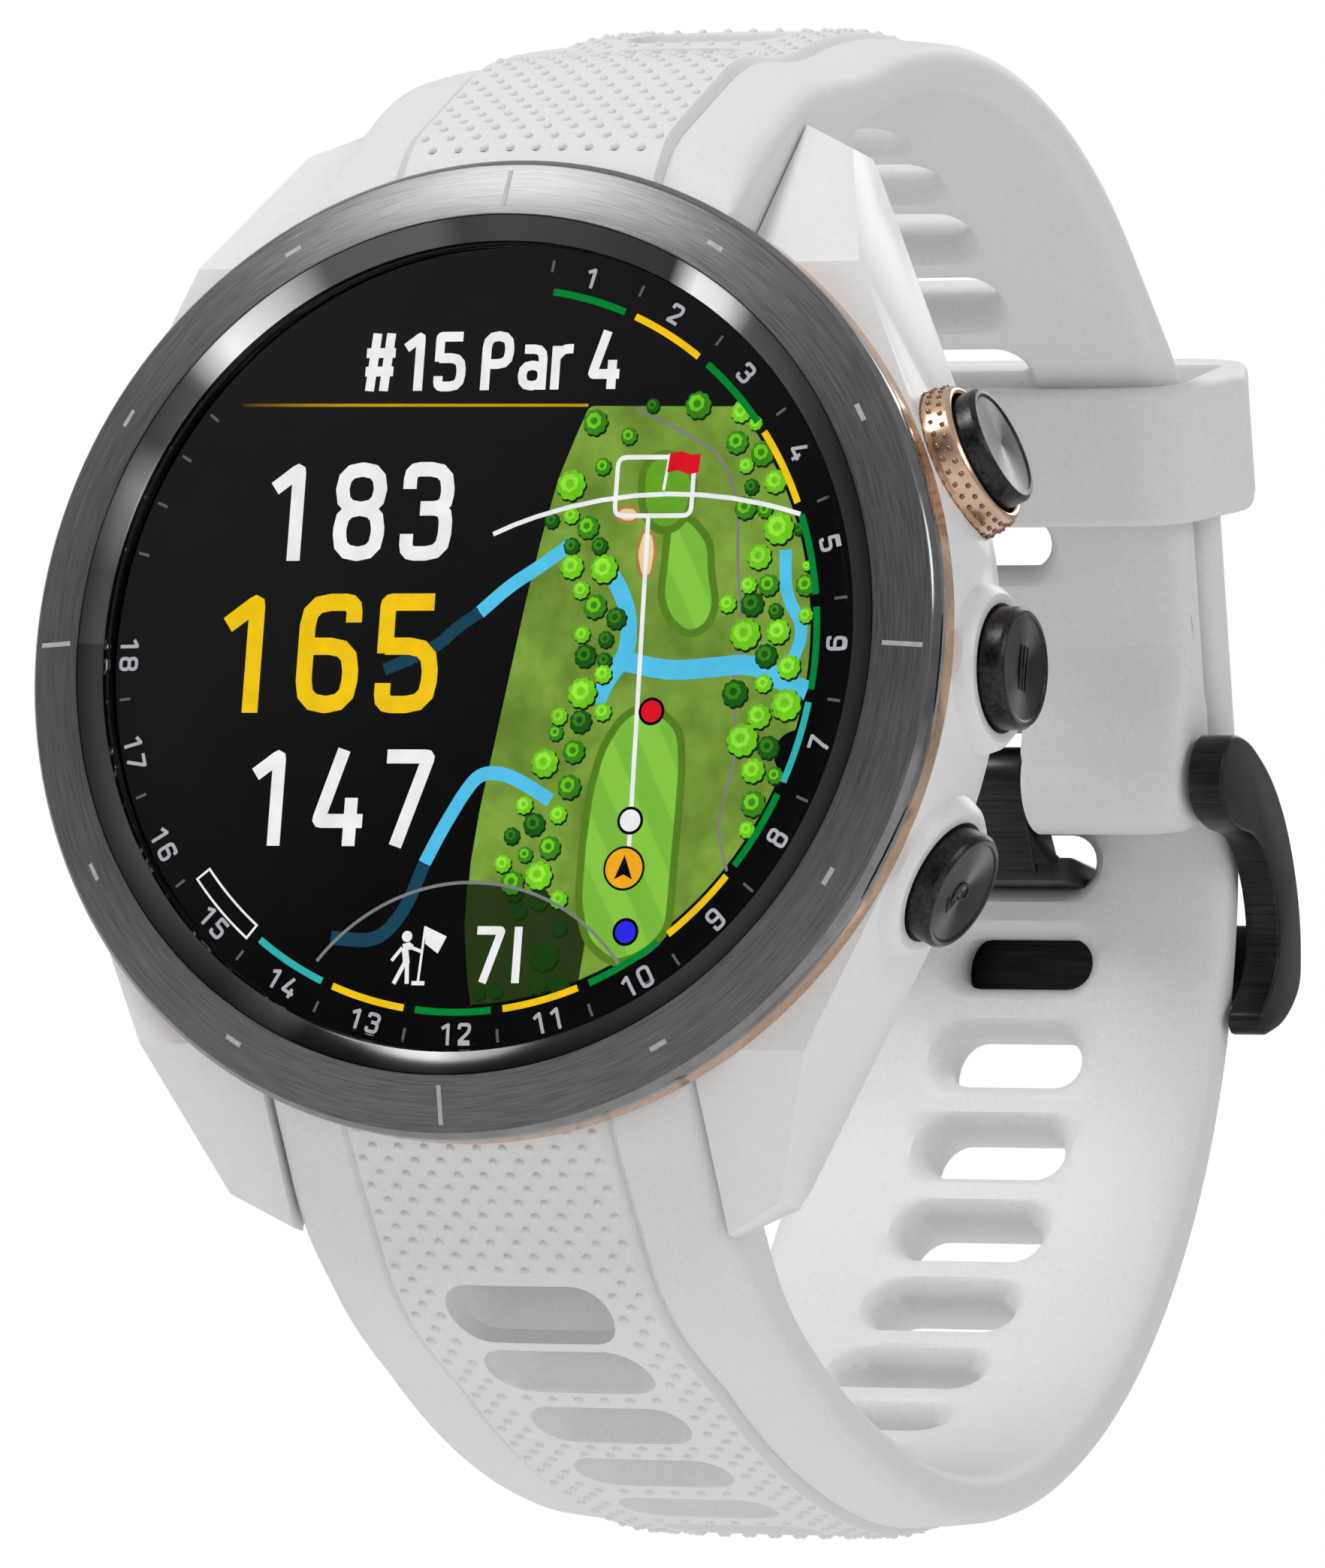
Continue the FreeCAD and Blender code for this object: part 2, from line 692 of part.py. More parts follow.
def make_button(name, angle, face):
    clip_start = stem_end + dim["clip_inset"] + dim["clip_play"]
    clip_end = clip_start + dim["clip_groove"] - dim["clip_play"] * 2
    clip_bore = dim["stem_radius"] - dim["clip_neck"]
    switch_face = stem_end - dim["button_travel"] - dim["edge_step"]
    radial(f"{name}_button", button_corners(face), angle)
    radial(f"{name}_button_clip", [
        (clip_start, clip_bore),
        (clip_end, clip_bore),
        (clip_end, dim["clip_radius"]),
        (clip_start, dim["clip_radius"]),
    ], angle)
    seal_bore = dim["stem_radius"] + dim["clip_play"]
    seal_top = dim["button_floor"] + dim["seal_height"]
    radial(f"{name}_button_seal", [
        (dim["button_floor"], seal_bore),
        (seal_top, seal_bore),
        (seal_top, dim["seal_radius"]),
        (dim["button_floor"], dim["seal_radius"]),
    ], angle)
    make_button_spring(f"{name}_button_spring", angle)
    half_side = dim["switch_side"] / 2
    switch = new_body(f"{name}_switch")
    pad(switch, outline(switch, "XY_Plane", [
        (dim["cavity_radius"] - dim["flex_gap"], -half_side),
        (switch_face, -half_side),
        (switch_face, half_side),
        (dim["cavity_radius"] - dim["flex_gap"], half_side),
    ]), dim["switch_side"])
    aim(switch, angle)


def make_button_flex():
    """The curved board that carries the three switches."""
    sectors = []
    outer = dim["cavity_radius"] - dim["flex_gap"] - dim["fit_gap"]
    inner = dim["cavity_radius"] - dim["flex_gap"] - dim["flex_thickness"]
    for radius, extra in ((outer, 0), (inner, BEYOND)):
        front = dim["button_depth"] - dim["flex_height"] / 2 - extra
        sector = turning_cylinder("flex_sector", radius, front,
                                  dim["button_depth"] + dim["flex_height"] / 2 + extra)
        sectors.append(sector)
    sectors[0].Placement.Rotation = Rotation(Vector(1, 0, 0), -90).multiply(
        Rotation(Vector(0, 0, 1), -mm["flex_reach"]))
    sectors[0].setExpression("Angle", f"{dim['flex_reach'].formula} * 2 deg")
    flex = doc.addObject("Part::Cut", "flex_cut")
    flex.Base, flex.Tool = sectors
    seat(keep(flex, "button_flex"))


def make_buttons():
    make_button("action", dim["action_angle"], dim["action_face"])
    make_button("menu", dim["menu_angle"], dim["cap_face"])
    make_button("back", dim["back_angle"], dim["cap_face"])
    guard_bore = dim["cap_radius"] + dim["cap_clearance"]
    face_radius = dim["cap_radius"] + dim["guard_face_wall"]
    base_radius = dim["cap_radius"] + dim["guard_base_wall"] - dim["edge_step"]
    radial("action_button_guard", [
        (dim["guard_seat"], guard_bore),
        (dim["guard_face"], guard_bore),
        (dim["guard_face"], face_radius - dim["guard_ease"]),
        (dim["guard_face"] - dim["guard_ease"], face_radius),
        (dim["guard_seat"] + dim["guard_band"], base_radius),
        (dim["guard_seat"], base_radius),
    ], dim["action_angle"])
    make_button_flex()


# ---- Back of the case ----

def make_back():
    cover_front = dim["back_recess_front"] + dim["gasket_thickness"]
    window_bore = dim["window_radius"] + dim["edge_step"]
    cover_radius = dim["back_recess_radius"] - dim["edge_step"]
    turned("back_gasket", ring_corners(cover_radius - dim["seal_height"], cover_radius,
                                       dim["back_recess_front"], cover_front))
    turned("sensor_window", [
        (ZERO, cover_front),
        (dim["window_radius"], cover_front),
        (dim["window_radius"], dim["window_rim_depth"]),
        (dim["window_dome_radius"], dim["face_depth"]),
        (ZERO, dim["face_depth"]),
    ])
    turned("sensor_board", ring_corners(
        ZERO, dim["sensor_board_radius"], cover_front - dim["board_thickness"], cover_front))
    body = doc.addObject("PartDesign::Body", "cover_blank")
    turn_profile(body, outline(body, "XY_Plane", [
        (window_bore, cover_front),
        (cover_radius, cover_front),
        (cover_radius, dim["cover_rim_depth"]),
        (dim["cover_edge_radius"], dim["cover_edge_depth"]),
        (window_bore, dim["window_rim_depth"] - dim["edge_step"]),
    ]))
    holes = doc.addObject("Part::MultiFuse", "cover_holes")
    holes.Shapes = (
        screw_cylinders("cover_hole", dim["screw_radius"] + dim["edge_step"],
                        cover_front - BEYOND, dim["case_back"] + BEYOND)
        + screw_cylinders("cover_sink", dim["screw_head_radius"] + dim["fit_gap"],
                          dim["case_back"] + dim["fit_gap"], dim["face_depth"])
        + [port_block("port_hole", dim["port_width"], dim["port_height"], cover_front - BEYOND,
                      dim["face_depth"])])
    cover = doc.addObject("Part::Cut", "cover_cut")
    cover.Base = body
    cover.Tool = holes
    seat(keep(cover, "back_cover"))
    make_back_screws()
    make_charge_port(cover_front)


def port_block(name, width, height, front, back):
    block = doc.addObject("Part::Box", name)
    bind(block, Length=width, Width=back - front, Height=height)
    bind(block, Placement__Base__x=-width / 2, Placement__Base__y=front,
         Placement__Base__z=-dim["port_drop"] - height / 2)
    return block


def make_back_screws():
    """Four screws through the cover into the ledge of the case."""
    head_front = dim["case_back"] + dim["fit_gap"]
    shafts = screw_cylinders("screw_shaft", dim["screw_radius"] - dim["screw_play"],
                             dim["back_ledge_front"] + dim["screw_floor"] + dim["fit_gap"],
                             head_front + dim["fit_gap"])
    heads = screw_cylinders("screw_head", dim["screw_head_radius"], head_front,
                            head_front + dim["screw_head_height"])
    group = doc.addObject("Part::MultiFuse", "screw_group")
    group.Shapes = shafts + heads
    seat(keep(group, "back_screws"))


def make_charge_port(cover_front):
    """The recessed contact block below the window, and its four contact pads."""
    pad_face = dim["cover_edge_depth"] - dim["fit_gap"]
    block = port_block("port_solid", dim["port_width"] - dim["fit_gap"],
                       dim["port_height"] - dim["fit_gap"], cover_front,
                       pad_face - dim["contact_rise"])
    holes = doc.addObject("Part::MultiFuse", "contact_holes")
    contacts = doc.addObject("Part::MultiFuse", "contact_group")
    hole_radius = dim["contact_radius"] + dim["contact_play"]
    for shapes, radius, front in ((holes, hole_radius, cover_front - BEYOND),
                                  (contacts, dim["contact_radius"], cover_front)):
        shapes.Shapes = [
            turning_cylinder("contact", radius, front, pad_face, dim["contact_pitch"] * place,
                             -dim["port_drop"])
            for place in (-1.5, -0.5, 0.5, 1.5)]
    port = doc.addObject("Part::Cut", "port_cut")
    port.Base = block
    port.Tool = holes
    seat(keep(port, "charge_port"))
    seat(keep(contacts, "charge_contacts"))


# ---- Strap ----

class Path:
    """The inner face of a strap half, seen from 3 o'clock, as tangent arcs and runs.

    Points are (depth, height). outward is +1 or -1, the side of the path that faces away
    from the wrist: +1 to the right of the way it runs.
    """

    def __init__(self, start, outward):
        self.stations = [start]
        self.pieces = []
        self.outward = outward

    def run(self, length):
        depth, height, heading = self.stations[-1]
        angle = math.radians(heading)
        self.pieces.append((None, 0.0, length))
        self.stations.append((depth + length * math.cos(angle),
                              height + length * math.sin(angle), heading))

    def arc(self, radius, turn):
        self.pieces.append((radius, turn, radius * math.radians(abs(turn))))
        self.stations.append(self.along_arc(self.stations[-1], radius, turn))

    def add(self, steps):
        for kind, amount in steps:
            if kind == "run":
                self.run(amount)
            else:
                self.arc(kind, amount)

    @staticmethod
    def along_arc(station, radius, turn):
        depth, height, heading = station
        before, after = math.radians(heading), math.radians(heading + turn)
        side = math.copysign(radius, turn)
        return (depth + side * (math.sin(after) - math.sin(before)),
                height - side * (math.cos(after) - math.cos(before)), heading + turn)

    def length(self):
        return sum(piece[2] for piece in self.pieces)

    def at(self, distance):
        """The station at a distance along the inner face."""
        left = distance
        for station, (radius, turn, length) in zip(self.stations, self.pieces):
            last = (radius, turn, length) is self.pieces[-1]
            if left <= length or last:
                break
            left -= length
        if radius is None:
            depth, height, heading = station
            angle = math.radians(heading)
            return (depth + left * math.cos(angle), height + left * math.sin(angle), heading)
        return self.along_arc(station, radius, turn * left / length)

    def lift(self, station, distance):
        """The point at a distance from the inner face, away from the wrist."""
        depth, height, heading = station
        angle = math.radians(heading)
        return Vector(0, depth + self.outward * distance * math.sin(angle),
                      height - self.outward * distance * math.cos(angle))

    def edges(self, distance):
        """The path at a distance from the inner face, as edges from first to last."""
        result = []
        for place, (radius, turn, length) in enumerate(self.pieces):
            start = self.lift(self.stations[place], distance)
            end = self.lift(self.stations[place + 1], distance)
            if radius is None:
                result.append(Part.makeLine(start, end))
            else:
                middle = self.along_arc(self.stations[place], radius, turn / 2)
                result.append(Part.Arc(start, self.lift(middle, distance), end).toShape())
        return result

    def band(self, thickness, width):
        """The strap between its inner face and a thickness outside it."""
        inner = self.edges(0)
        outer = self.edges(thickness)
        ends = [Part.makeLine(self.lift(self.stations[place], 0),
                              self.lift(self.stations[place], thickness)) for place in (0, -1)]
        wire = Part.Wire(Part.__sortEdges__(inner + outer + ends))
        return across(wire, width)

    def mid_distance(self, place, thickness):
        """Distance along the inner face whose length halfway into the strap is place."""
        covered = 0.0
        inner = 0.0
        for radius, turn, length in self.pieces:
            scale = 1.0
            if radius is not None:
                bends_in = (turn > 0) == (self.outward > 0)
                scale = 1 + (thickness / 2 if bends_in else -thickness / 2) / radius
            if covered + length * scale >= place:
                return inner + (place - covered) / scale
            covered += length * scale
            inner += length
        return inner


def across(wire, width):
    """A solid as wide as the given width, from a side outline on the middle plane."""
    solid = Part.Face(wire).extrude(Vector(width, 0, 0))
    solid.translate(Vector(-width / 2, 0, 0))
    return solid


def polygon(points):
    return Part.makePolygon([*points, points[0]])


def upper_path():
    path = Path(UPPER_START, -1)
    path.add(UPPER_ARCS)
    return path


def lower_path(short):
    """The long half, whose free end lies flat on the outside of the short half."""
    path = Path(LOWER_START, 1)
    path.add(LOWER_ARCS)
    end_heading = short.stations[-1][2] + 180
    outward = Vector(0, math.sin(math.radians(end_heading)),
                     -math.cos(math.radians(end_heading)))
    rest = short.lift(short.stations[-1], mm["panel_thickness"] + mm["strap_gap"])
    here = path.stations[-1]
    turn = end_heading - here[2]
    unit = Path.along_arc((0, 0, here[2]), 1.0, turn)
    reach = outward.dot(rest - Vector(0, here[0], here[1]))
    radius = reach / outward.dot(Vector(0, unit[0], unit[1]))
    path.arc(radius, turn)
    path.run(mm["free_end_length"])
    return path


def head(path, join_distance, knees, side):
    """The thick end of a strap half between the lugs: its full width and its middle panel."""
    join = path.at(join_distance)
    start = path.at(0)
    underside = [Vector(0, depth, height * side) for depth, height in HEAD_UNDERSIDE]
    inner = [path.lift(join, 0), path.lift(start, 0)] + underside
    top = Vector(0, mm["head_front"], HEAD_TOP_HEIGHT * side)
    tip = Vector(0, mm["lug_tip_depth"], mm["lug_tip_height"] * side)
    edge_knee, panel_knee = (Vector(0, depth, height * side) for depth, height in knees)
    edge = [top, tip, edge_knee, path.lift(join, mm["edge_thickness"])] + inner
    panel_top = Vector(0, mm["head_front"], PANEL_TOP_HEIGHT * side)
    panel = [top, panel_top, panel_knee, path.lift(join, mm["panel_thickness"])] + inner
    return [across(polygon(edge), mm["strap_width"]), across(polygon(panel), mm["panel_width"])]


def slot_tool(path, distance):
    """A prism with round ends that pierces the strap at a distance along its inner face."""
    half = mm["slot_width"] / 2
    height = mm["slot_height"]
    corner = mm["slot_corner"]
    flat = Part.makeBox(mm["slot_width"], height, TOOL_REACH * 2,
                        Vector(-half, -height / 2, -TOOL_REACH))
    upright = [edge for edge in flat.Edges if abs(edge.tangentAt(edge.FirstParameter).z) > 0.9]
    rounded = flat.makeFillet(corner, upright)
    depth, level, heading = path.at(distance)
    outward = path.lift((0, 0, heading), 1)
    along = Vector(0, math.cos(math.radians(heading)), math.sin(math.radians(heading)))
    rounded.Placement = Placement(Vector(0, depth, level),
                                  Rotation(Vector(1, 0, 0), along, outward, "ZYX"))
    return rounded


def pin_hole(point, radius, width):
    return Part.makeCylinder(radius, width, Vector(-width / 2, point.y, point.z),
                             Vector(1, 0, 0))


def wall_clearance():
    """The case wall that the strap heads stay clear of."""
    return Part.makeCylinder(mm["strap_wall_radius"] + mm["head_clearance"], TOOL_REACH * 4,
                             Vector(0, -TOOL_REACH, 0), Vector(0, 1, 0))


def lever_window(side):
    """The opening in a strap head that the quick-release lever moves in."""
    reach = mm["release_travel"] + 4 * mm["lever_radius"]
    high = 4 * mm["lever_radius"]
    return Part.makeBox(
        reach, TOOL_REACH * 2, high,
        Vector(mm["lever_place"] - mm["release_travel"] - 2 * mm["lever_radius"],
               mm["bar_depth"], mm["bar_height"] * side - high / 2))


def bar_point(side):
    return Vector(0, mm["bar_depth"], mm["bar_height"] * side)


def finish_strap(label, solids, cuts):
    shape = solids[0].fuse(solids[1:])
    shape = shape.cut(cuts)
    item = keep(doc.addObject("Part::Feature", label + "_solid"), label)
    item.Shape = shape.removeSplitter()
    seat_feature(item)
    return item


def seat_feature(item):
    item.Placement = Placement(Vector(0, -mm["face_depth"], 0), Rotation())


def slot_distances(path, anchor, pitch, first, last):
    """Slot places along the inner face, spaced evenly halfway into the strap."""
    return [path.mid_distance(anchor + pitch * step, mm["panel_thickness"])
            for step in range(first, last + 1)]


def middle_length(path, distance, thickness):
    """The length halfway into the strap up to a distance along its inner face."""
    low, high = 0.0, path.length() * 1.2
    for _ in range(40):
        guess = (low + high) / 2
        if path.mid_distance(guess, thickness) < distance:
            low = guess
        else:
            high = guess
    return low


def make_lower_strap(path):
    arc_start = path.length() - path.pieces[-1][2] - path.pieces[-2][2]
    _, turn, length = path.pieces[-2]
    from_end = mm["buckle_angle"] - mm["tongue_slot_angle"]
    tongue_place = arc_start + length * (turn - from_end) / turn
    anchor = middle_length(path, tongue_place, mm["panel_thickness"])
    back = int(anchor / mm["long_slot_pitch"])
    places = slot_distances(path, anchor, mm["long_slot_pitch"], -back - int(mm["head_slots"]),
                            int(mm["tip_slots"]))
    through = mm["strap_width"] * 2
    cuts = [slot_tool(path, place) for place in places]
    cuts += [wall_clearance(), lever_window(-1),
             pin_hole(bar_point(-1), mm["bar_radius"] + mm["fit_gap"], through)]
    solids = [path.band(mm["edge_thickness"], mm["strap_width"]),
              path.band(mm["panel_thickness"], mm["panel_width"])]
    solids += head(path, LOWER_JOIN, LOWER_KNEES, -1)
    finish_strap("lower_strap", solids, cuts + tip_cuts(path))


def tip_cuts(path):
    """Corners taken off the free end of the long half."""
    cuts = []
    corner = mm["tip_radius"]
    depth, level, heading = path.at(path.length())
    along = Vector(0, math.cos(math.radians(heading)), math.sin(math.radians(heading)))
    outward = path.lift((0, 0, heading), 1)
    for side in (1, -1):
        half = mm["strap_width"] / 2
        block = Part.makeBox(corner, corner, TOOL_REACH * 2,
                             Vector(half - corner, -corner, -TOOL_REACH))
        round_bar = Part.makeCylinder(corner, TOOL_REACH * 4,
                                      Vector(half - corner, -corner, -TOOL_REACH * 2))
        cut = block.cut(round_bar)
        if side < 0:
            cut = cut.mirror(Vector(0, 0, 0), Vector(1, 0, 0))
        cut.Placement = Placement(Vector(0, depth, level),
                                  Rotation(Vector(1, 0, 0), along, outward, "ZYX"))
        cuts.append(cut)
    return cuts


def make_upper_strap(path, pin):
    pieces = [path.band(mm["edge_thickness"], mm["strap_width"]),
              path.band(mm["panel_thickness"], mm["panel_width"])]
    pieces += head(path, UPPER_JOIN, UPPER_KNEES, 1)
    pieces.append(pin_hole(pin, mm["knuckle_radius"], mm["strap_width"]))
    anchor = middle_length(path, path.length() - mm["short_end_slot"], mm["panel_thickness"])
    count = int(anchor / mm["short_slot_pitch"])
    places = slot_distances(path, anchor, mm["short_slot_pitch"], -count, 0)
    through = mm["strap_width"] * 2
    relief = Part.makeBox(mm["knuckle_gap"], TOOL_REACH * 2, TOOL_REACH * 2)
    relief.translate(Vector(-mm["knuckle_gap"] / 2, pin.y - TOOL_REACH,
                            pin.z + mm["knuckle_relief"] - TOOL_REACH * 2))
    cuts = [slot_tool(path, place) for place in places]
    cuts += [wall_clearance(), lever_window(1), relief,
             pin_hole(bar_point(1), mm["bar_radius"] + mm["fit_gap"], through),
             pin_hole(pin, mm["pin_radius"] + mm["contact_play"], through)]
    finish_strap("upper_strap", pieces, cuts)


# ---- Spring bars ----

def shaft(name, radius, start, end):
    """A cylinder along X in the frame of a spring bar."""
    rod = doc.addObject("Part::Cylinder", name)
    rod.Placement = Placement(Vector(0, 0, 0), Rotation(Vector(0, 1, 0), 90))
    bind(rod, Radius=radius, Height=end - start, Placement__Base__x=start)
    return rod


def make_spring_bar(name, side):
    bore_start = dim["bar_bore_start"]
    tube = doc.addObject("Part::MultiFuse", "bar_solid")
    tube.Shapes = [shaft("bar_tube", dim["bar_radius"], -dim["bar_half_length"],
                         dim["bar_half_length"]),
                   shaft("bar_fixed_tip", dim["bar_tip_radius"], -dim["bar_tip_reach"],
                         -dim["bar_half_length"] + BEYOND)]
    window = doc.addObject("Part::Box", "bar_window")
    window_width = dim["release_travel"] + dim["lever_radius"] * 3
    bind(window, Length=window_width, Width=dim["bar_radius"] * 2,
         Height=dim["lever_radius"] * 3,
         Placement__Base__x=dim["lever_place"] - dim["release_travel"]
         - dim["lever_radius"] * 1.5,
         Placement__Base__z=-dim["lever_radius"] * 1.5)
    hollow = doc.addObject("Part::MultiFuse", "bar_hollow")
    hollow.Shapes = [shaft("bar_bore", dim["bar_bore"], bore_start,
                           dim["bar_half_length"] + BEYOND), window]
    bar = doc.addObject("Part::Cut", "bar_cut")
    bar.Base = tube
    bar.Tool = hollow
    seat(keep(bar, f"{name}_spring_bar"), depth=dim["bar_depth"], z=dim["bar_height"] * side)
    spring_end = dim["lever_place"] - dim["plunger_length"]
    lever = doc.addObject("Part::Cylinder", "lever_pin")
    lever.Placement = Placement(Vector(0, 0, 0), Rotation(Vector(1, 0, 0), -90))
    bind(lever, Radius=dim["lever_radius"], Height=dim["lever_reach"],
         Placement__Base__x=dim["lever_place"])
    plunger = doc.addObject("Part::MultiFuse", "plunger_solid")
    plunger.Shapes = [shaft("plunger_rod", dim["bar_tip_radius"], spring_end,
                            dim["bar_tip_reach"]), lever]
    seat(keep(plunger, f"{name}_quick_release"), depth=dim["bar_depth"],
         z=dim["bar_height"] * side)
    wire = mm["bar_spring_wire"]
    spring = make_coil(f"{name}_bar_spring", spring_end.value - bore_start.value,
                       mm["bar_spring_radius"], wire, 5)
    axis = Placement(
        Vector(0, mm["bar_depth"] - mm["face_depth"], mm["bar_height"] * side), Rotation())
    spring.Placement = axis.multiply(along_x(bore_start.value + wire))


# ---- Buckle and keeper ----

def buckle_outline(body, corners):
    # What lies outside the strap moves with the strap's thickness.
    lift = dim["panel_thickness"] - dim["buckle_room"]
    return outline(body, "YZ_Plane", [
        (Size(depth, repr(depth)) + lift if depth > BUCKLE_MIDDLE else Size(depth, repr(depth)),
         Size(height, repr(height))) for depth, height in corners])


def make_buckle(pin):
    frame = new_body("buckle_frame")
    pad(frame, buckle_outline(frame, ARM_OUTLINE), dim["buckle_width"])
    pad(frame, buckle_outline(frame, ARM_SPACE),
        dim["buckle_opening"], kind="PartDesign::Pocket")
    pad(frame, buckle_outline(frame, CROSSBAR_OUTLINE), dim["buckle_width"])
    pad(frame, circle(frame, "YZ_Plane", ZERO, ZERO, dim["pin_radius"] + dim["pin_clearance"]),
        dim["buckle_width"] * 2, kind="PartDesign::Pocket")
    tongue = new_body("buckle_tongue")
    pad(tongue, buckle_outline(tongue, TONGUE_ROOT_OUTLINE), dim["tongue_root_width"])
    pad(tongue, circle(tongue, "YZ_Plane", ZERO, ZERO, dim["tongue_hub_radius"]),
        dim["tongue_root_width"])
    pad(tongue, buckle_outline(tongue, TONGUE_BLADE_OUTLINE), dim["tongue_width"])
    pad(tongue, circle(tongue, "YZ_Plane", ZERO, ZERO, dim["pin_radius"] + dim["pin_clearance"]),
        dim["tongue_width"] * 2, kind="PartDesign::Pocket")
    pin_body = new_body("buckle_pin")
    pad(pin_body, circle(pin_body, "YZ_Plane", ZERO, ZERO, dim["pin_radius"]),
        dim["buckle_width"] - dim["pin_recess"] * 2)
    for item in (frame, tongue, pin_body):
        item.Placement = Placement(Vector(0, pin.y - mm["face_depth"], pin.z), Rotation())


def make_keeper(short):
    """The loose loop, drawn across the strap and padded along it."""
    keeper = new_body("strap_keeper")
    inner_leg = -dim["keeper_clearance"] - dim["keeper_wall"]
    bore_top = dim["panel_thickness"] * 2 + dim["strap_gap"] + dim["keeper_clearance"]
    outer_leg = bore_top + dim["keeper_wall"]
    half_bore = dim["strap_width"] / 2 + dim["keeper_clearance"]
    half_side = half_bore + dim["keeper_side"]
    outer = [
        (half_bore - dim["keeper_facet"], inner_leg),
        (half_bore + dim["keeper_wall"] - dim["keeper_facet"] / 3, inner_leg + dim["keeper_lead"]),
        (half_side, bore_top / 2),
        (half_side - dim["keeper_facet"], outer_leg - dim["keeper_wall"]),
        (half_bore - dim["keeper_facet"], outer_leg),
    ]
    pad(keeper, outline(keeper, "XY_Plane", outer + [(-x, y) for x, y in reversed(outer)]),
        dim["keeper_length"])
    bore = [(half_bore, -dim["keeper_clearance"]), (half_bore, bore_top)]
    pad(keeper, outline(keeper, "XY_Plane", bore + [(-x, y) for x, y in reversed(bore)]),
        dim["keeper_length"] * 2, kind="PartDesign::Pocket")
    straight = short.pieces[-1][2]
    centre = short.at(short.length() - straight + mm["keeper_length"] / 2 - mm["keeper_lead"])
    foot = short.lift(centre, 0)
    keeper.Placement = Placement(foot - Vector(0, mm["face_depth"], 0),
                                 Rotation(Vector(1, 0, 0), mm["buckle_angle"]))


# ---- Assembly ----

def check_document():
    doc.recompute()
    for item in doc.Objects:
        if "Invalid" in item.State or "Error" in item.State:
            raise RuntimeError(f"{item.Label} did not compute: {item.State}")
    for item in subparts:
        if item.Shape.isNull() or not item.Shape.isValid() or item.Shape.Volume <= 0:
            raise RuntimeError(f"{item.Label} has no valid solid")


def write_parts():
    os.makedirs("parts", exist_ok=True)
    for item in subparts:
        item.Shape.exportStep(os.path.join("parts", item.Label + ".step"))
        print(f"{item.Label}: {len(item.Shape.Solids)} solid(s), {item.Shape.Volume:.2f} mm3")


make_bezel()
make_lens_and_display()
make_case_body()
make_electronics()
make_buttons()
make_back()
short_path = upper_path()
long_path = lower_path(short_path)
buckle_pin = short_path.lift(short_path.stations[-1], mm["pin_inset"])
make_upper_strap(short_path, buckle_pin)
make_lower_strap(long_path)
make_spring_bar("upper", 1)
make_spring_bar("lower", -1)
make_buckle(buckle_pin)
make_keeper(short_path)
check_document()
write_parts()
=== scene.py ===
import json
import math

import bmesh
import bpy
from mathutils import Matrix, Vector

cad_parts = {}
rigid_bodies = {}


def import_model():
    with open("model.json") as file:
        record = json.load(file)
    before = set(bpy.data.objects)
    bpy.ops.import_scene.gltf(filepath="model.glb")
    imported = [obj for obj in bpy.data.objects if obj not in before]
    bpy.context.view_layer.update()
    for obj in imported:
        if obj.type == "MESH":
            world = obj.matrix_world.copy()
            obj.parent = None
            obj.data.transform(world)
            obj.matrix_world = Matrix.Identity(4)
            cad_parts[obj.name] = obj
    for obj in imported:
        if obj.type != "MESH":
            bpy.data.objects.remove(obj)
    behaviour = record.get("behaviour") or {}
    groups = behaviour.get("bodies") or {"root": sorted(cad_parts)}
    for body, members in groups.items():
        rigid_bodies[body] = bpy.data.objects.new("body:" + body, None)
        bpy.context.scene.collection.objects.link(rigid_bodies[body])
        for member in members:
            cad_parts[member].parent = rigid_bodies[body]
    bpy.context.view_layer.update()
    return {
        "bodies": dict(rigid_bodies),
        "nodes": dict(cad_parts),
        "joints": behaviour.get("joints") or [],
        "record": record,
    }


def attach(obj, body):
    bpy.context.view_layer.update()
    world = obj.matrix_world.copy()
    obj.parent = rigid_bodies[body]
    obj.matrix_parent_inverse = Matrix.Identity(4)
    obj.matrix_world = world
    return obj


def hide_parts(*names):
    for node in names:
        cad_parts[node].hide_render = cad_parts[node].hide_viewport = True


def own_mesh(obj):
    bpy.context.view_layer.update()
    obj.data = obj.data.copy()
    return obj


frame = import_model()
nodes = frame["nodes"]
print("frame loaded with", len(nodes), "nodes")

mm = 0.001
faceDepth = 11.85  # lens surface to the middle of the case back


def useOnly(*pieces):
    bpy.ops.object.select_all(action="DESELECT")
    for piece in pieces:
        piece.select_set(True)
    bpy.context.view_layer.objects.active = pieces[0]


def named(name):
    piece = bpy.context.object
    piece.name = name
    piece.data.name = name
    return piece


def editMesh(*steps):
    # runs edit-mode steps on the active piece
    bpy.ops.object.mode_set(mode="EDIT")
    for step in steps:
        step()
    bpy.ops.object.mode_set(mode="OBJECT")


def applyModifiers(piece):
    useOnly(piece)
    for modifier in list(piece.modifiers):
        bpy.ops.object.modifier_apply(modifier=modifier.name)


def addModifier(piece, kind, **settings):
    modifier = piece.modifiers.new(kind.title(), kind)
    for name, value in settings.items():
        setattr(modifier, name, value)
    return modifier


def selectAll():
    bpy.ops.mesh.select_all(action="SELECT")


def outwardNormals(piece, mergeBy=0.000001):
    useOnly(piece)
    editMesh(selectAll,
             lambda: bpy.ops.mesh.remove_doubles(threshold=mergeBy),
             lambda: bpy.ops.mesh.normals_make_consistent(inside=False))


def newPiece(name, points, edges, faces):
    mesh = bpy.data.meshes.new(name)
    mesh.from_pydata(points, edges, faces)
    piece = bpy.data.objects.new(name, mesh)
    bpy.context.scene.collection.objects.link(piece)
    return piece


def turnFaces(piece, side):
    # makes every face look along Y to the given side
    for face in piece.data.polygons:
        if face.normal.y * side < 0:
            face.flip()


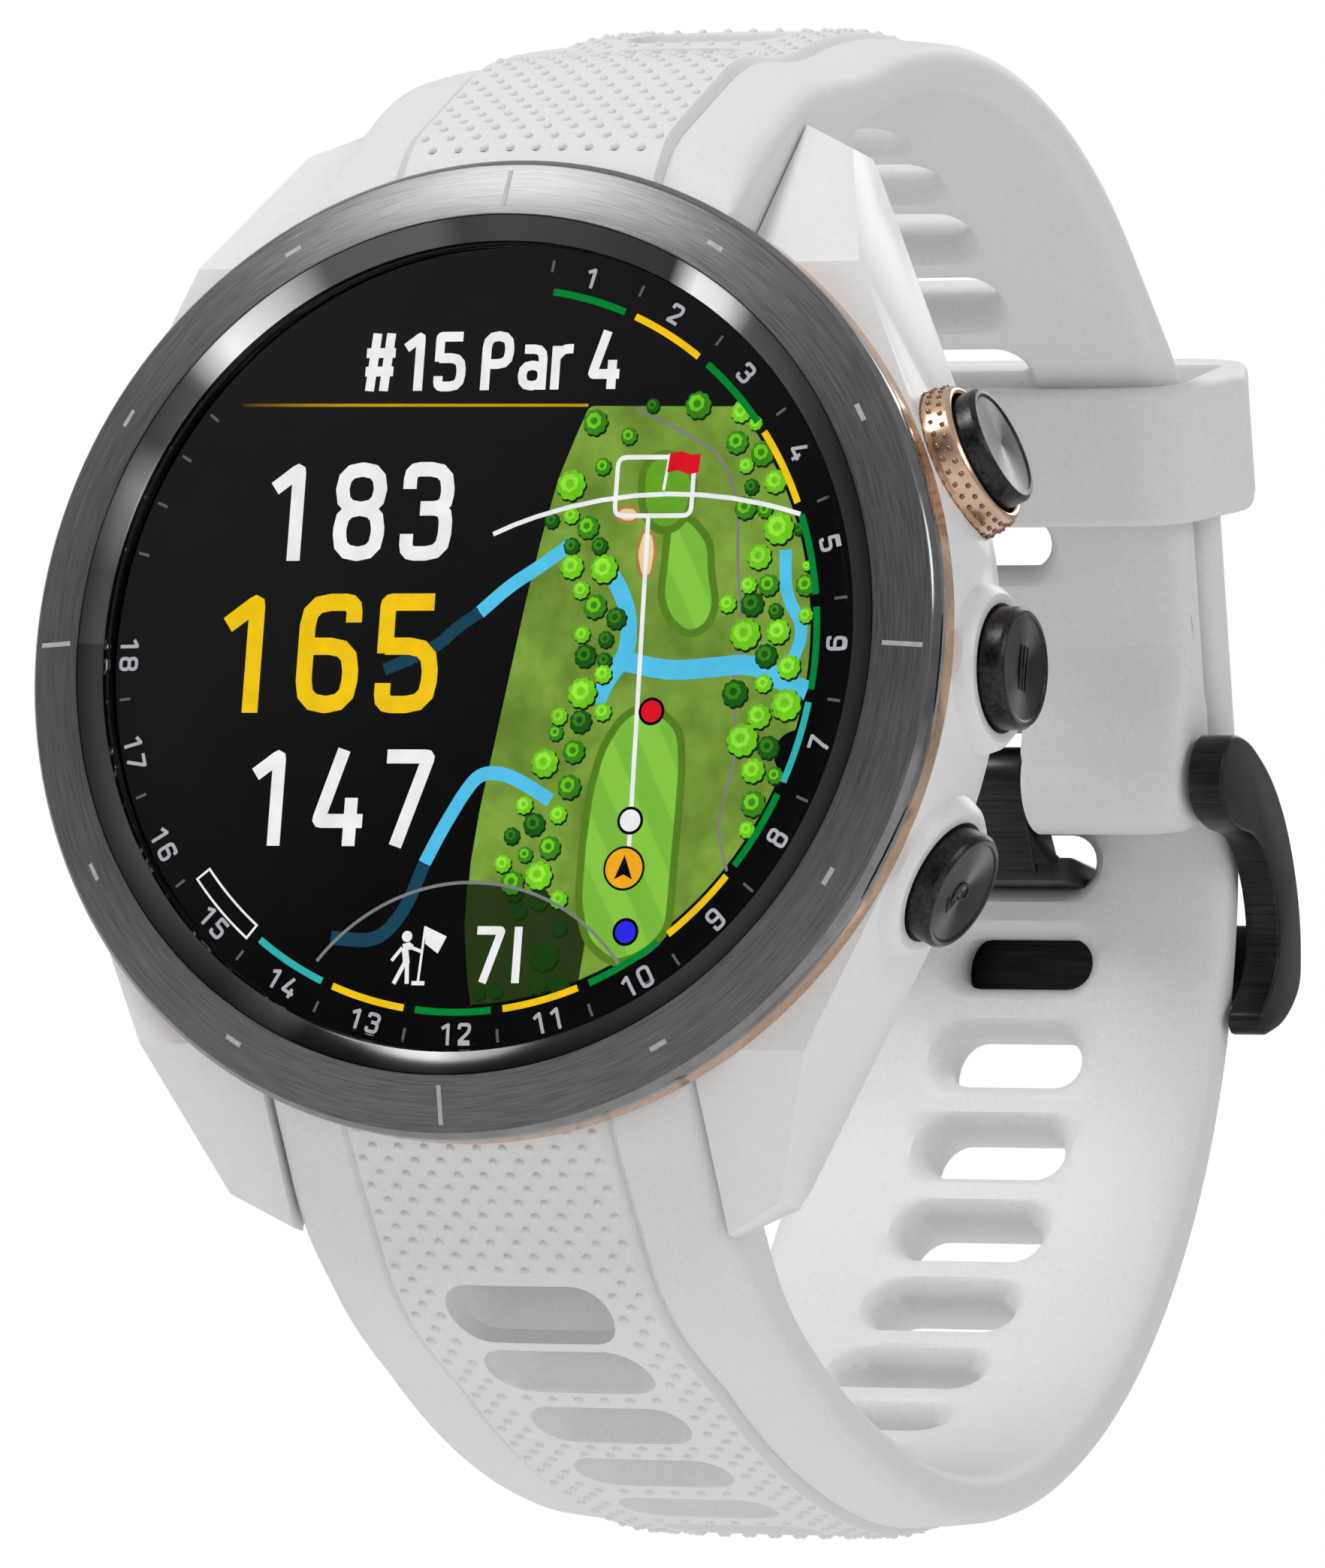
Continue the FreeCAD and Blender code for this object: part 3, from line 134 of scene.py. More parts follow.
def cutWith(piece, tool):
    addModifier(piece, "BOOLEAN", operation="DIFFERENCE", object=tool, solver="EXACT")
    applyModifiers(piece)
    bpy.data.objects.remove(tool)


def settle(piece):
    # puts the piece's place into its mesh
    useOnly(piece)
    bpy.ops.object.transform_apply(location=True, rotation=True, scale=True)


def smooth(piece, degrees=35):
    useOnly(piece)
    bpy.ops.object.shade_smooth_by_angle(angle=math.radians(degrees))


def dress(piece, material, body):
    piece.data.materials.clear()
    piece.data.materials.append(material)
    for face in piece.data.polygons:
        face.material_index = 0
    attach(piece, body)
    return piece


def facePoint(x, depth, z):
    # from the lens surface's own axes to the model's, in metres
    return Vector((x * mm, (depth - faceDepth) * mm, z * mm))


def addNode(tree, kind, **values):
    node = tree.nodes.new("ShaderNode" + kind)
    for name, value in values.items():
        node.inputs[name.replace("_", " ")].default_value = value
    return node


def sums(tree, operation, *sources, kind="Math"):
    # one step of arithmetic on outlets or plain values
    node = tree.nodes.new("ShaderNode" + kind)
    node.operation = operation
    for socket, source in zip(node.inputs, sources):
        if isinstance(source, bpy.types.NodeSocket):
            tree.links.new(source, socket)
        else:
            socket.default_value = source
    return node.outputs["Value"] if operation == "DOT_PRODUCT" else node.outputs[0]


def remapped(tree, source, **limits):
    node = addNode(tree, "MapRange", **limits)
    tree.links.new(source, node.inputs["Value"])
    return node.outputs["Result"]


def twoTones(tree, source, first, second, low=0.0, high=1.0):
    node = tree.nodes.new("ShaderNodeValToRGB")
    for element, color, spot in zip(node.color_ramp.elements, (first, second), (low, high)):
        element.position = spot
        element.color = (*color, 1)
    tree.links.new(source, node.inputs["Fac"])
    return node.outputs["Color"]


def grainOf(tree, source, **values):
    node = addNode(tree, "TexNoise", **values)
    tree.links.new(source, node.inputs["Vector"])
    return node.outputs["Fac"]


def splitPlace(tree, source):
    node = tree.nodes.new("ShaderNodeSeparateXYZ")
    tree.links.new(source, node.inputs["Vector"])
    return node.outputs


def feed(tree, shader, **sockets):
    # joins outlets to the shader's sockets, or sets them to plain values
    for name, value in sockets.items():
        socket = shader.inputs[name.replace("_", " ")]
        if isinstance(value, bpy.types.NodeSocket):
            tree.links.new(value, socket)
        else:
            socket.default_value = value


cameraPlan = {
    "azimuth": 24.328, "elevation": -8.693, "roll": 4.087, "distance": 599.8,
    "aimRight": 7.998, "aimUp": -5.911, "lens": 326.62, "sensor": 36.0,
}
lightPlan = {
    "key": {"place": (-0.42, -0.58, 0.80), "size": 0.36, "watts": 5.8},
    "side": {"place": (0.85, -0.22, 0.40), "size": 0.40, "watts": 1.5},
    "low": {"place": (-0.80, -0.62, -0.38), "size": 0.20, "watts": 0.5},
    "front": {"place": (0.16, -1.15, -0.38), "size": 0.18, "watts": 0.8},
    "rear": {"place": (0.10, 0.75, 0.50), "size": 0.50, "watts": 1.3},
}
worldPlan = {
    "strength": 0.68, "bright": (-0.50, -0.35, 0.79), "low": 0.30,
    "card": (-0.407, -0.901, 0.151), "cardEdge": (0.80, 0.95),
    "cardGlow": 0.03,
}
floorPlan = {"height": -0.135, "side": 6.0}


def makeCamera():
    plan = cameraPlan
    azimuth, elevation, roll = (math.radians(plan[key])
                                for key in ("azimuth", "elevation", "roll"))
    toCamera = Vector((math.sin(azimuth) * math.cos(elevation),
                       -math.cos(azimuth) * math.cos(elevation), math.sin(elevation)))
    level = Vector((math.cos(azimuth), math.sin(azimuth), 0.0))
    upright = toCamera.cross(level)
    right = level * math.cos(roll) + upright * math.sin(roll)
    up = upright * math.cos(roll) - level * math.sin(roll)
    place = (toCamera * plan["distance"] + right * plan["aimRight"] + up * plan["aimUp"])
    place.y -= faceDepth
    bpy.ops.object.camera_add()
    camera = bpy.context.object
    camera.name = "watchCamera"
    turn = Matrix((right, up, toCamera)).transposed().to_4x4()
    camera.matrix_world = Matrix.Translation(place * mm) @ turn
    camera.data.sensor_fit = "VERTICAL"
    camera.data.sensor_height = plan["sensor"]
    camera.data.lens = plan["lens"]
    camera.data.clip_start = 0.01
    bpy.context.scene.camera = camera


def makeLights():
    for name, plan in lightPlan.items():
        place = Vector(plan["place"])
        bpy.ops.object.light_add(type="AREA", location=place)
        light = bpy.context.object
        light.name = name + "Light"
        light.rotation_euler = (-place).to_track_quat("-Z", "Y").to_euler()
        light.data.shape = "DISK"
        light.data.size = plan["size"]
        light.data.energy = plan["watts"]


def makeWorld():
    # soft light for the object, a black card where the glass mirrors, pale backdrop for the eye
    world = bpy.data.worlds.new("studioWorld")
    bpy.context.scene.world = world
    world.use_nodes = True
    tree = world.node_tree
    tree.nodes.clear()
    output = tree.nodes.new("ShaderNodeOutputWorld")
    mix = tree.nodes.new("ShaderNodeMixShader")
    rays = tree.nodes.new("ShaderNodeLightPath")
    pale = addNode(tree, "Background", Color=(1.0, 1.0, 1.0, 1.0))
    soft = addNode(tree, "Background", Strength=worldPlan["strength"])
    place = tree.nodes.new("ShaderNodeTexCoord").outputs["Generated"]
    lift = sums(tree, "DOT_PRODUCT", place, worldPlan["bright"], kind="VectorMath")
    aim = sums(tree, "DOT_PRODUCT", place, worldPlan["card"], kind="VectorMath")
    ramp = remapped(tree, lift, From_Min=-1.0, From_Max=1.0, To_Min=worldPlan["low"], To_Max=1.0)
    cardFrom, cardTo = worldPlan["cardEdge"]
    shade = remapped(tree, aim, From_Min=cardFrom, From_Max=cardTo, To_Min=1.0,
                     To_Max=worldPlan["cardGlow"])
    tree.links.new(sums(tree, "MULTIPLY", ramp, shade), soft.inputs["Color"])
    tree.links.new(rays.outputs["Is Camera Ray"], mix.inputs["Fac"])
    tree.links.new(soft.outputs["Background"], mix.inputs[1])
    tree.links.new(pale.outputs["Background"], mix.inputs[2])
    tree.links.new(mix.outputs["Shader"], output.inputs["Surface"])


def makeFloor():
    bpy.ops.mesh.primitive_plane_add(size=floorPlan["side"], location=(0, 0, floorPlan["height"]))
    floor = named("floor")
    pale = bpy.data.materials.new("paleFloor")
    pale.use_nodes = True
    shader = pale.node_tree.nodes["Principled BSDF"]
    shader.inputs["Base Color"].default_value = (0.86, 0.86, 0.86, 1)
    shader.inputs["Roughness"].default_value = 0.9
    floor.data.materials.append(pale)


makeCamera()
makeLights()
makeWorld()
makeFloor()
bpy.context.scene.view_settings.view_transform = "Standard"
print("camera, lights and floor ready")


def newFinish(name):
    finish = bpy.data.materials.new(name)
    finish.use_nodes = True
    tree = finish.node_tree
    shader = tree.nodes["Principled BSDF"]
    return finish, tree, shader


def objectPlace(tree):
    return tree.nodes.new("ShaderNodeTexCoord").outputs["Object"]


def roundPlace(tree, stretch):
    # a point's place as (radius, turn about the dial axis, depth), so noise runs round the dial
    place = splitPlace(tree, objectPlace(tree))
    turn = sums(tree, "ARCTAN2", place["Z"], place["X"])
    squares = [sums(tree, "MULTIPLY", place[axis], place[axis]) for axis in ("X", "Z")]
    radius = sums(tree, "SQRT", sums(tree, "ADD", *squares))
    joined = tree.nodes.new("ShaderNodeCombineXYZ")
    for socket, source in zip(joined.inputs, (radius, turn, place["Y"])):
        tree.links.new(source, socket)
    return sums(tree, "MULTIPLY", joined.outputs[0], stretch, kind="VectorMath")


def stretchedPlace(tree, stretch):
    mapping = tree.nodes.new("ShaderNodeMapping")
    mapping.inputs["Scale"].default_value = stretch
    tree.links.new(objectPlace(tree), mapping.inputs["Vector"])
    return mapping.outputs["Vector"]


def noisyFinish(name, colors, roughness, place, scale=1.0, metallic=0.0, bump=0.0,
                bumpStep=0.00002, detail=4.0, **sockets):
    # two tones, two roughnesses and a bump, all read from one noise
    finish, tree, shader = newFinish(name)
    grain = grainOf(tree, place(tree), Scale=scale, Detail=detail, Roughness=0.6)
    feed(tree, shader, Base_Color=twoTones(tree, grain, *colors, 0.3, 0.7), Metallic=metallic,
         Roughness=remapped(tree, grain, To_Min=roughness[0], To_Max=roughness[1]), **sockets)
    if bump:
        lift = addNode(tree, "Bump", Strength=bump, Distance=bumpStep)
        tree.links.new(grain, lift.inputs["Height"])
        tree.links.new(lift.outputs["Normal"], shader.inputs["Normal"])
    return finish


def even(tree):
    return objectPlace(tree)


def aroundDial(radial, turning):
    return lambda tree: roundPlace(tree, (radial, turning, radial))


def stretched(x, y, z):
    return lambda tree: stretchedPlace(tree, (x, y, z))


finishes = {
    "whiteSilicone": noisyFinish(
        "whiteSilicone", ((0.70, 0.70, 0.705), (0.76, 0.76, 0.765)), (0.42, 0.56), even,
        scale=5200.0, bump=0.10, bumpStep=0.00003, Specular_IOR_Level=0.38),
    "whiteCase": noisyFinish(
        "whiteCase", ((0.77, 0.77, 0.775), (0.81, 0.81, 0.815)), (0.26, 0.36), even,
        scale=3500.0, bump=0.04, bumpStep=0.00002, Specular_IOR_Level=0.45),
    "brushedBezel": noisyFinish(
        "brushedBezel", ((0.085, 0.085, 0.087), (0.165, 0.165, 0.168)), (0.30, 0.44),
        aroundDial(14000.0, 9.0), metallic=0.9, bump=0.05, bumpStep=0.00001, detail=6.0),
    "polishedBezel": noisyFinish(
        "polishedBezel", ((0.20, 0.20, 0.203), (0.26, 0.26, 0.263)), (0.07, 0.12), even,
        scale=900.0, metallic=1.0),
    "roseGold": noisyFinish(
        "roseGold", ((0.58, 0.38, 0.26), (0.72, 0.51, 0.37)), (0.16, 0.28),
        aroundDial(2500.0, 60.0), metallic=1.0, bump=0.05, bumpStep=0.00001),
    "blackMetal": noisyFinish(
        "blackMetal", ((0.012, 0.012, 0.013), (0.035, 0.035, 0.037)), (0.22, 0.40),
        stretched(260.0, 9000.0, 9000.0), metallic=0.8, bump=0.15, bumpStep=0.00002),
    "capMetal": noisyFinish(
        "capMetal", ((0.015, 0.015, 0.016), (0.05, 0.05, 0.052)), (0.24, 0.42), even,
        scale=9000.0, metallic=0.85, bump=0.12, bumpStep=0.00002),
    "springSteel": noisyFinish(
        "springSteel", ((0.42, 0.42, 0.43), (0.58, 0.58, 0.59)), (0.22, 0.38),
        stretched(400.0, 6000.0, 6000.0), metallic=1.0),
    "sealRubber": noisyFinish(
        "sealRubber", ((0.012, 0.012, 0.012), (0.025, 0.025, 0.025)), (0.6, 0.8), even,
        scale=4000.0, bump=0.2),
    "displayBlack": noisyFinish(
        "displayBlack", ((0.0015, 0.0015, 0.0018), (0.0035, 0.0035, 0.004)), (0.2, 0.3), even,
        scale=700.0),
    "lightAlloy": noisyFinish(
        "lightAlloy", ((0.52, 0.53, 0.54), (0.66, 0.67, 0.68)), (0.3, 0.45),
        stretched(300.0, 5000.0, 5000.0), metallic=1.0),
    "copperStrip": noisyFinish(
        "copperStrip", ((0.6, 0.3, 0.15), (0.75, 0.42, 0.24)), (0.25, 0.4), even,
        scale=3000.0, metallic=1.0),
    "circuitBoard": noisyFinish(
        "circuitBoard", ((0.008, 0.09, 0.045), (0.02, 0.16, 0.08)), (0.3, 0.5), even,
        scale=1800.0, bump=0.1),
    "batteryFoil": noisyFinish(
        "batteryFoil", ((0.35, 0.36, 0.38), (0.48, 0.49, 0.51)), (0.35, 0.5), even,
        scale=1500.0, metallic=0.8, bump=0.1),
    "flexFilm": noisyFinish(
        "flexFilm", ((0.38, 0.15, 0.02), (0.5, 0.22, 0.04)), (0.3, 0.45), even, scale=2500.0),
    "switchBlack": noisyFinish(
        "switchBlack", ((0.015, 0.015, 0.015), (0.03, 0.03, 0.03)), (0.4, 0.55), even,
        scale=3000.0),
    "sensorGlass": noisyFinish(
        "sensorGlass", ((0.006, 0.006, 0.008), (0.012, 0.012, 0.015)), (0.05, 0.1), even,
        scale=900.0, Coat_Weight=0.6),
    "contactGold": noisyFinish(
        "contactGold", ((0.75, 0.52, 0.2), (0.85, 0.63, 0.3)), (0.15, 0.3), even, scale=6000.0,
        metallic=1.0),
}

slotFinish = {
    "dark_ceramic": "brushedBezel", "rose_gold": "roseGold", "display_black": "displayBlack",
    "seal_rubber": "sealRubber", "white_case": "whiteCase", "light_alloy": "lightAlloy",
    "copper_strip": "copperStrip", "circuit_board": "circuitBoard",
    "shield_steel": "springSteel", "battery_foil": "batteryFoil", "flex_film": "flexFilm",
    "switch_black": "switchBlack", "black_metal": "blackMetal",
    "spring_steel": "springSteel", "screw_steel": "springSteel",
    "sensor_glass": "sensorGlass", "port_black": "switchBlack", "contact_gold": "contactGold",
    "white_silicone": "whiteSilicone", "lens_glass": "displayBlack",
}
for subpart in frame["record"]["subparts"]:
    node = nodes[subpart["node"]]
    finish = finishes[slotFinish[subpart["material_slot"]]]
    node.data.materials.clear()
    node.data.materials.append(finish)
for name in ("action_button", "menu_button", "back_button"):
    nodes[name].data.materials[0] = finishes["capMetal"]
print("finishes made:", len(finishes))


strapPlan = {
    "halfWidth": 10.0, "panelHalf": 5.95, "panelStep": 0.3, "panelCrown": 0.25, "seam": 0.2,
    "outerRound": 0.75, "innerRound": 0.8, "station": 0.55,
    "softFrom": 6.6, "softLift": 0.28, "wallRadius": 19.45,
    "columns": (0, 1.5, 3, 4.5, 5.6, 5.85, 5.97, 6.12, 6.4, 7.2, 8.0, 8.7, 9.25, 9.6, 9.84,
                9.96, 10.0),
}
lowerPlan = {
    "start": (12.6, -22.5, -45.0),
    "arcs": ((0, 2.0), (12.3, 20.0), (42.2, 22.0), (26.945, 112.9), (0, 16.5)),
    "outside": -1,
    "from": -13.0,
    # outer and inner heights as (distance, height) pairs
    "panel": ((-13.0, 1.0), (-9.0, 4.91), (0.85, 5.09), (2.5, 4.45), (6.3, 3.15), (92.2, 3.1)),
    "edge": ((-13.0, 2.8), (-10.8, 3.15), (-2.26, 4.24), (1.2, 3.46), (3.5, 2.85), (6.3, 2.35),
             (92.2, 2.3)),
    "inner": ((-13.0, -4.6), (-5.8, -1.84), (-2.9, -0.35), (0, 0), (92.2, 0)),
    "slots": (1.75, 5.55, 9.95, 14.65, 19.42, 24.2, 28.9, 33.65, 38.24, 42.82, 47.41, 51.99,
              56.58, 61.17, 65.75, 70.34, 74.93, 79.7, 84.55, 89.4),
}
upperPlan = {
    "start": (12.37, 23.14, 34.9),
    "arcs": ((0, 1.5), (27.5, -67.9), (0, 6.5), (5.0, -37.1), (0, 15.6)),
    "outside": 1,
    "from": -13.0,
    "panel": ((-13.0, 1.0), (-8.9, 4.9), (0.6, 5.1), (2.2, 4.3), (4.5, 3.15), (59.5, 3.1)),
    "edge": ((-13.0, 2.8), (-10.8, 3.2), (-2.2, 4.2), (1.0, 3.5), (2.8, 2.85), (4.5, 2.35),
             (59.5, 2.3)),
    "inner": ((-13.0, -4.6), (-5.8, -1.9), (-2.9, -0.4), (0, 0), (59.5, 0)),
    "slots": (4.71, 9.12, 13.52, 17.92, 22.32, 26.72, 31.12, 35.6, 40.25, 43.91, 48.55),
}


def between(pairs, place):
    # straight-line value at a place in a table of pairs
    if place <= pairs[0][0]:
        return pairs[0][1]
    for (low, first), (high, last) in zip(pairs, pairs[1:]):
        if place <= high:
            return first + (last - first) * (place - low) / (high - low)
    return pairs[-1][1]


def easedBetween(pairs, place, reach=1.6):
    # the same table with its corners rounded off
    return sum(between(pairs, place + reach * share) for share in (-1, -0.5, 0, 0.5, 1)) / 5


def routePoints(plan, pitch=0.25):
    depth, height, heading = plan["start"]
    points = [(depth, height)]
    for radius, amount in plan["arcs"]:
        length = amount if radius == 0 else radius * math.radians(abs(amount))
        count = max(2, round(length / pitch))
        for step in range(1, count + 1):
            share = step / count
            before = math.radians(heading)
            if radius == 0:
                points.append((depth + length * share * math.cos(before),
                               height + length * share * math.sin(before)))
                continue
            after = math.radians(heading + amount * share)
            side = math.copysign(radius, amount)
            points.append((depth + side * (math.sin(after) - math.sin(before)),
                           height - side * (math.cos(after) - math.cos(before))))
        depth, height = points[-1]
        heading += 0 if radius == 0 else amount
    return points


def makeGuide(name, plan):
    curve = bpy.data.curves.new(name, "CURVE")
    curve.dimensions = "2D"
    points = routePoints(plan)
    spline = curve.splines.new("POLY")
    spline.points.add(len(points) - 1)
    for point, (depth, height) in zip(spline.points, points):
        point.co = (depth * mm, height * mm, 0, 1)
    guide = bpy.data.objects.new(name, curve)
    bpy.context.scene.collection.objects.link(guide)
    return guide


def bendAlong(piece, guide):
    # the flat strap lies with its length on X, thickness on Y and width on Z
    addModifier(piece, "CURVE", object=guide, deform_axis="POS_X")
    applyModifiers(piece)
    upright = Matrix(((0, 0, 1, 0), (1, 0, 0, 0), (0, 1, 0, 0), (0, 0, 0, 1)))
    piece.data.transform(Matrix.Translation((0, -faceDepth * mm, 0)) @ upright)


def roundedOff(radius, fromSide):
    # how far an edge of this radius falls away at a distance from the side
    lean = max(0.0, 1 - fromSide / radius)
    return radius * (1 - math.sqrt(max(0.0, 1 - lean * lean)))


def innerLift(wide):
    # how far the inner face rises towards its rounded sides
    half, start = strapPlan["halfWidth"], strapPlan["softFrom"]
    soft = max(0.0, wide - start) / (half - start)
    return strapPlan["softLift"] * soft * soft + roundedOff(strapPlan["innerRound"], half - wide)


def strapHeights(plan, place, across):
    # outer and inner surface heights of the flat strap
    wide = abs(across)
    shape = strapPlan
    panel = easedBetween(plan["panel"], place)
    edge = easedBetween(plan["edge"], place)
    inner = easedBetween(plan["inner"], place)
    crown = shape["panelCrown"]
    half = shape["panelHalf"]
    if wide <= half:
        outer = panel - crown * (wide / half) ** 2 * 0.5
    else:
        rim = panel - crown * 0.5 - shape["panelStep"] * min(1.0, (wide - half) / 0.15)
        share = (wide - half) / (shape["halfWidth"] - half)
        outer = rim + (edge - rim) * (0.35 * share + 0.65 * share * share)
        outer -= shape["seam"] * max(0.0, 1 - abs(wide - half - 0.17) / 0.28)
    outer -= roundedOff(shape["outerRound"], shape["halfWidth"] - wide)
    return outer, inner + innerLift(wide)


def makeFlatStrap(name, plan, length):
    columns = [-value for value in reversed(strapPlan["columns"][1:])] + list(
        strapPlan["columns"])
    rows = round((length - plan["from"]) / strapPlan["station"])
    bpy.ops.object.select_all(action="DESELECT")
    bpy.ops.mesh.primitive_grid_add(x_subdivisions=rows, y_subdivisions=len(columns) - 1,
                                    size=1.0, rotation=(math.pi / 2, 0, 0))
    strap = named(name)
    settle(strap)
    editMesh(selectAll,
             lambda: bpy.ops.mesh.extrude_region_move(
                 TRANSFORM_OT_translate={"value": (0, 1.0, 0)}))
    for vertex in strap.data.vertices:
        place = plan["from"] + (vertex.co.x + 0.5) * (length - plan["from"])
        column = round((vertex.co.z + 0.5) * (len(columns) - 1))
        across = columns[column]
        outer, inner = strapHeights(plan, place, across)
        height = outer if vertex.co.y > 0.5 else inner
        vertex.co = (place * mm, height * plan["outside"] * mm, across * mm)
    outwardNormals(strap)
    return strap


slotPlan = {
    "length": 6.9, "height": 2.62, "corner": 1.25,
    # growth of the opening at heights through the strap, from the wrist outwards
    "flare": ((-3.0, 0.75), (-0.05, 0.62), (0.12, 0.36), (0.4, 0.12), (0.9, -0.14), (1.9, -0.12),
              (2.2, 0.0), (3.0, 0.16), (3.3, 0.34), (6.5, 0.4)),
}


def makeSlotCutter(plan):
    # a rounded block that widens softly towards both faces of the strap
    shape = slotPlan
    low = shape["flare"][0][0]
    bpy.ops.object.select_all(action="DESELECT")
    bpy.ops.mesh.primitive_plane_add(size=1.0, rotation=(math.pi / 2, 0, 0))
    cutter = named("slotCutter")
    cutter.scale = (shape["height"] * mm, shape["length"] * mm, 1)
    settle(cutter)
    editMesh(selectAll,
             lambda: bpy.ops.mesh.bevel(offset=shape["corner"] * mm, segments=6,
                                        affect="VERTICES"))
    for vertex in cutter.data.vertices:
        vertex.co.y = low * plan["outside"] * mm
    useOnly(cutter)
    bpy.ops.object.mode_set(mode="EDIT")
    selectAll()
    size = (shape["height"], shape["length"])
    for high, grow in shape["flare"]:
        if high > low:
            bpy.ops.mesh.extrude_region_move(
                TRANSFORM_OT_translate={"value": (0, (high - low) * plan["outside"] * mm, 0)})
        wanted = (shape["height"] + 2 * grow, shape["length"] + 2 * grow)
        bpy.ops.transform.resize(value=(wanted[0] / size[0], 1, wanted[1] / size[1]),
                                 center_override=(0, 0, 0))
        low, size = high, wanted
    bpy.ops.object.mode_set(mode="OBJECT")
    outwardNormals(cutter)
    return cutter


def cutSlots(strap, plan):
    # every second slot at a time, because the soft edges of neighbours meet in the tight bend
    cutter = makeSlotCutter(plan)
    for places in (plan["slots"][::2], plan["slots"][1::2]):
        copies = []
        for place in places:
            copy = cutter.copy()
            copy.data = cutter.data.copy()
            copy.location.x = place * mm
            bpy.context.scene.collection.objects.link(copy)
            copies.append(copy)
        useOnly(*copies)
        bpy.ops.object.join()
        tool = bpy.context.object
        settle(tool)
        cutWith(strap, tool)
    bpy.data.objects.remove(cutter)


def trimAtCase(piece):
    bpy.ops.object.select_all(action="DESELECT")
    bpy.ops.mesh.primitive_cylinder_add(vertices=160, radius=strapPlan["wallRadius"] * mm,
                                        depth=40 * mm, rotation=(math.pi / 2, 0, 0))
    tool = named("caseWall")
    settle(tool)
    cutWith(piece, tool)


def cutKnuckleGap(strap):
    # the opening for the buckle's tongue in the end of the short half
    bpy.ops.object.select_all(action="DESELECT")
    bpy.ops.mesh.primitive_cube_add(size=1.0, location=(0, 45 * mm, 2.1 * mm))
    tool = named("knuckleGap")
    tool.scale = (4.6 * mm, 16 * mm, 10 * mm)
    settle(tool)
    cutWith(strap, tool)


dotPlan = {
    "radius": 0.22, "rise": 0.17, "sink": 0.05, "across": 1.22, "row": 0.71, "half": 5.72,
    "slotMarginAlong": 0.58, "slotMarginAcross": 0.48,
}


def makeDots(name, plan, first, last):
    # one small dome, laid out in two staggered arrays and lifted onto the panel
    shape = dotPlan
    bpy.ops.object.select_all(action="DESELECT")
    bpy.ops.mesh.primitive_uv_sphere_add(segments=8, ring_count=6, radius=shape["radius"] * mm,
                                         rotation=(-math.pi / 2, 0, 0))
    dome = named(name)
    settle(dome)
    editMesh(selectAll,
             lambda: bpy.ops.mesh.bisect(plane_co=(0, -0.00001, 0), plane_no=(0, 1, 0),
                                         clear_inner=True))
    domeData = bmesh.new()
    domeData.from_mesh(dome.data)
    gathered = bmesh.new()
    rows = int((last - first) / shape["row"])
    halfCount = int(shape["half"] / shape["across"])
    for row in range(rows + 1):
        place = first + row * shape["row"]
        shift = 0.5 if row % 2 else 0.0
        for column in range(-halfCount - 1, halfCount + 1):
            across = (column + shift) * shape["across"]
            if abs(across) > shape["half"]:
                continue
            if any(abs(place - slot) < slotPlan["height"] / 2 + shape["slotMarginAlong"]
                   and abs(across) < slotPlan["length"] / 2 + shape["slotMarginAcross"]
                   for slot in plan["slots"]):
                continue
            outer, _ = strapHeights(plan, place, across)
            made = {}
            for vertex in domeData.verts:
                height = outer - shape["sink"] + vertex.co.y / mm / shape["radius"] * (
                    shape["rise"] + shape["sink"])
                made[vertex] = gathered.verts.new((
                    vertex.co.x + place * mm, height * plan["outside"] * mm,
                    vertex.co.z + across * mm))
            for face in domeData.faces:
                gathered.faces.new([made[vertex] for vertex in face.verts])
    gathered.to_mesh(dome.data)
    gathered.free()
    domeData.free()
    outwardNormals(dome, 0.0000001)
    return dome


print("straps: laying out")
lowerGuide = makeGuide("lowerGuide", lowerPlan)
upperGuide = makeGuide("upperGuide", upperPlan)
lowerStrap = makeFlatStrap("lowerStrapSkin", lowerPlan, 92.0)
upperStrap = makeFlatStrap("upperStrapSkin", upperPlan, 59.4)
for strap, plan, guide in ((lowerStrap, lowerPlan, lowerGuide),
                           (upperStrap, upperPlan, upperGuide)):
    cutSlots(strap, plan)
    bendAlong(strap, guide)
    trimAtCase(strap)
    if strap is upperStrap:
        cutKnuckleGap(strap)
    smooth(strap, 32)
    dress(strap, finishes["whiteSilicone"], "watch")
lowerDots = makeDots("lowerStrapDots", lowerPlan, -8.6, 74.0)
upperDots = makeDots("upperStrapDots", upperPlan, -8.6, 36.0)
for dots, guide in ((lowerDots, lowerGuide), (upperDots, upperGuide)):
    bendAlong(dots, guide)
    smooth(dots, 60)
    dress(dots, finishes["whiteSilicone"], "watch")
for guide in (lowerGuide, upperGuide):
    bpy.data.objects.remove(guide)
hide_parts("lower_strap")
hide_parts("upper_strap")
print("straps done")

# The screen's picture is drawn as thin shapes at stepped depths under the glass.


def tone(red, green, blue):
    return tuple(((value / 255) ** 2.2) for value in (red, green, blue))


screenBase = {"Base_Color": (0.004, 0.004, 0.004, 1), "Roughness": 0.5, "IOR": 1.08}


def screenFinish(name, color, spread=0.10, scale=900.0, fade=None):
    # a lit colour with a slight grain; fade gives the X places in mm between which it grows
    finish, tree, shader = newFinish(name)
    grain = grainOf(tree, objectPlace(tree), Scale=scale, Detail=3.0, Roughness=0.6)
    dark, light = ([value * share for value in color] for share in (1 - spread, 1 + spread))
    feed(tree, shader, Emission_Color=twoTones(tree, grain, dark, light, 0.32, 0.68),
         Emission_Strength=1.0, **screenBase)
    if fade:
        across = splitPlace(tree, objectPlace(tree))["X"]
        feed(tree, shader, Emission_Strength=remapped(
            tree, across, From_Min=fade[0] * mm, From_Max=fade[1] * mm, To_Min=0.08, To_Max=1.0))
    return finish


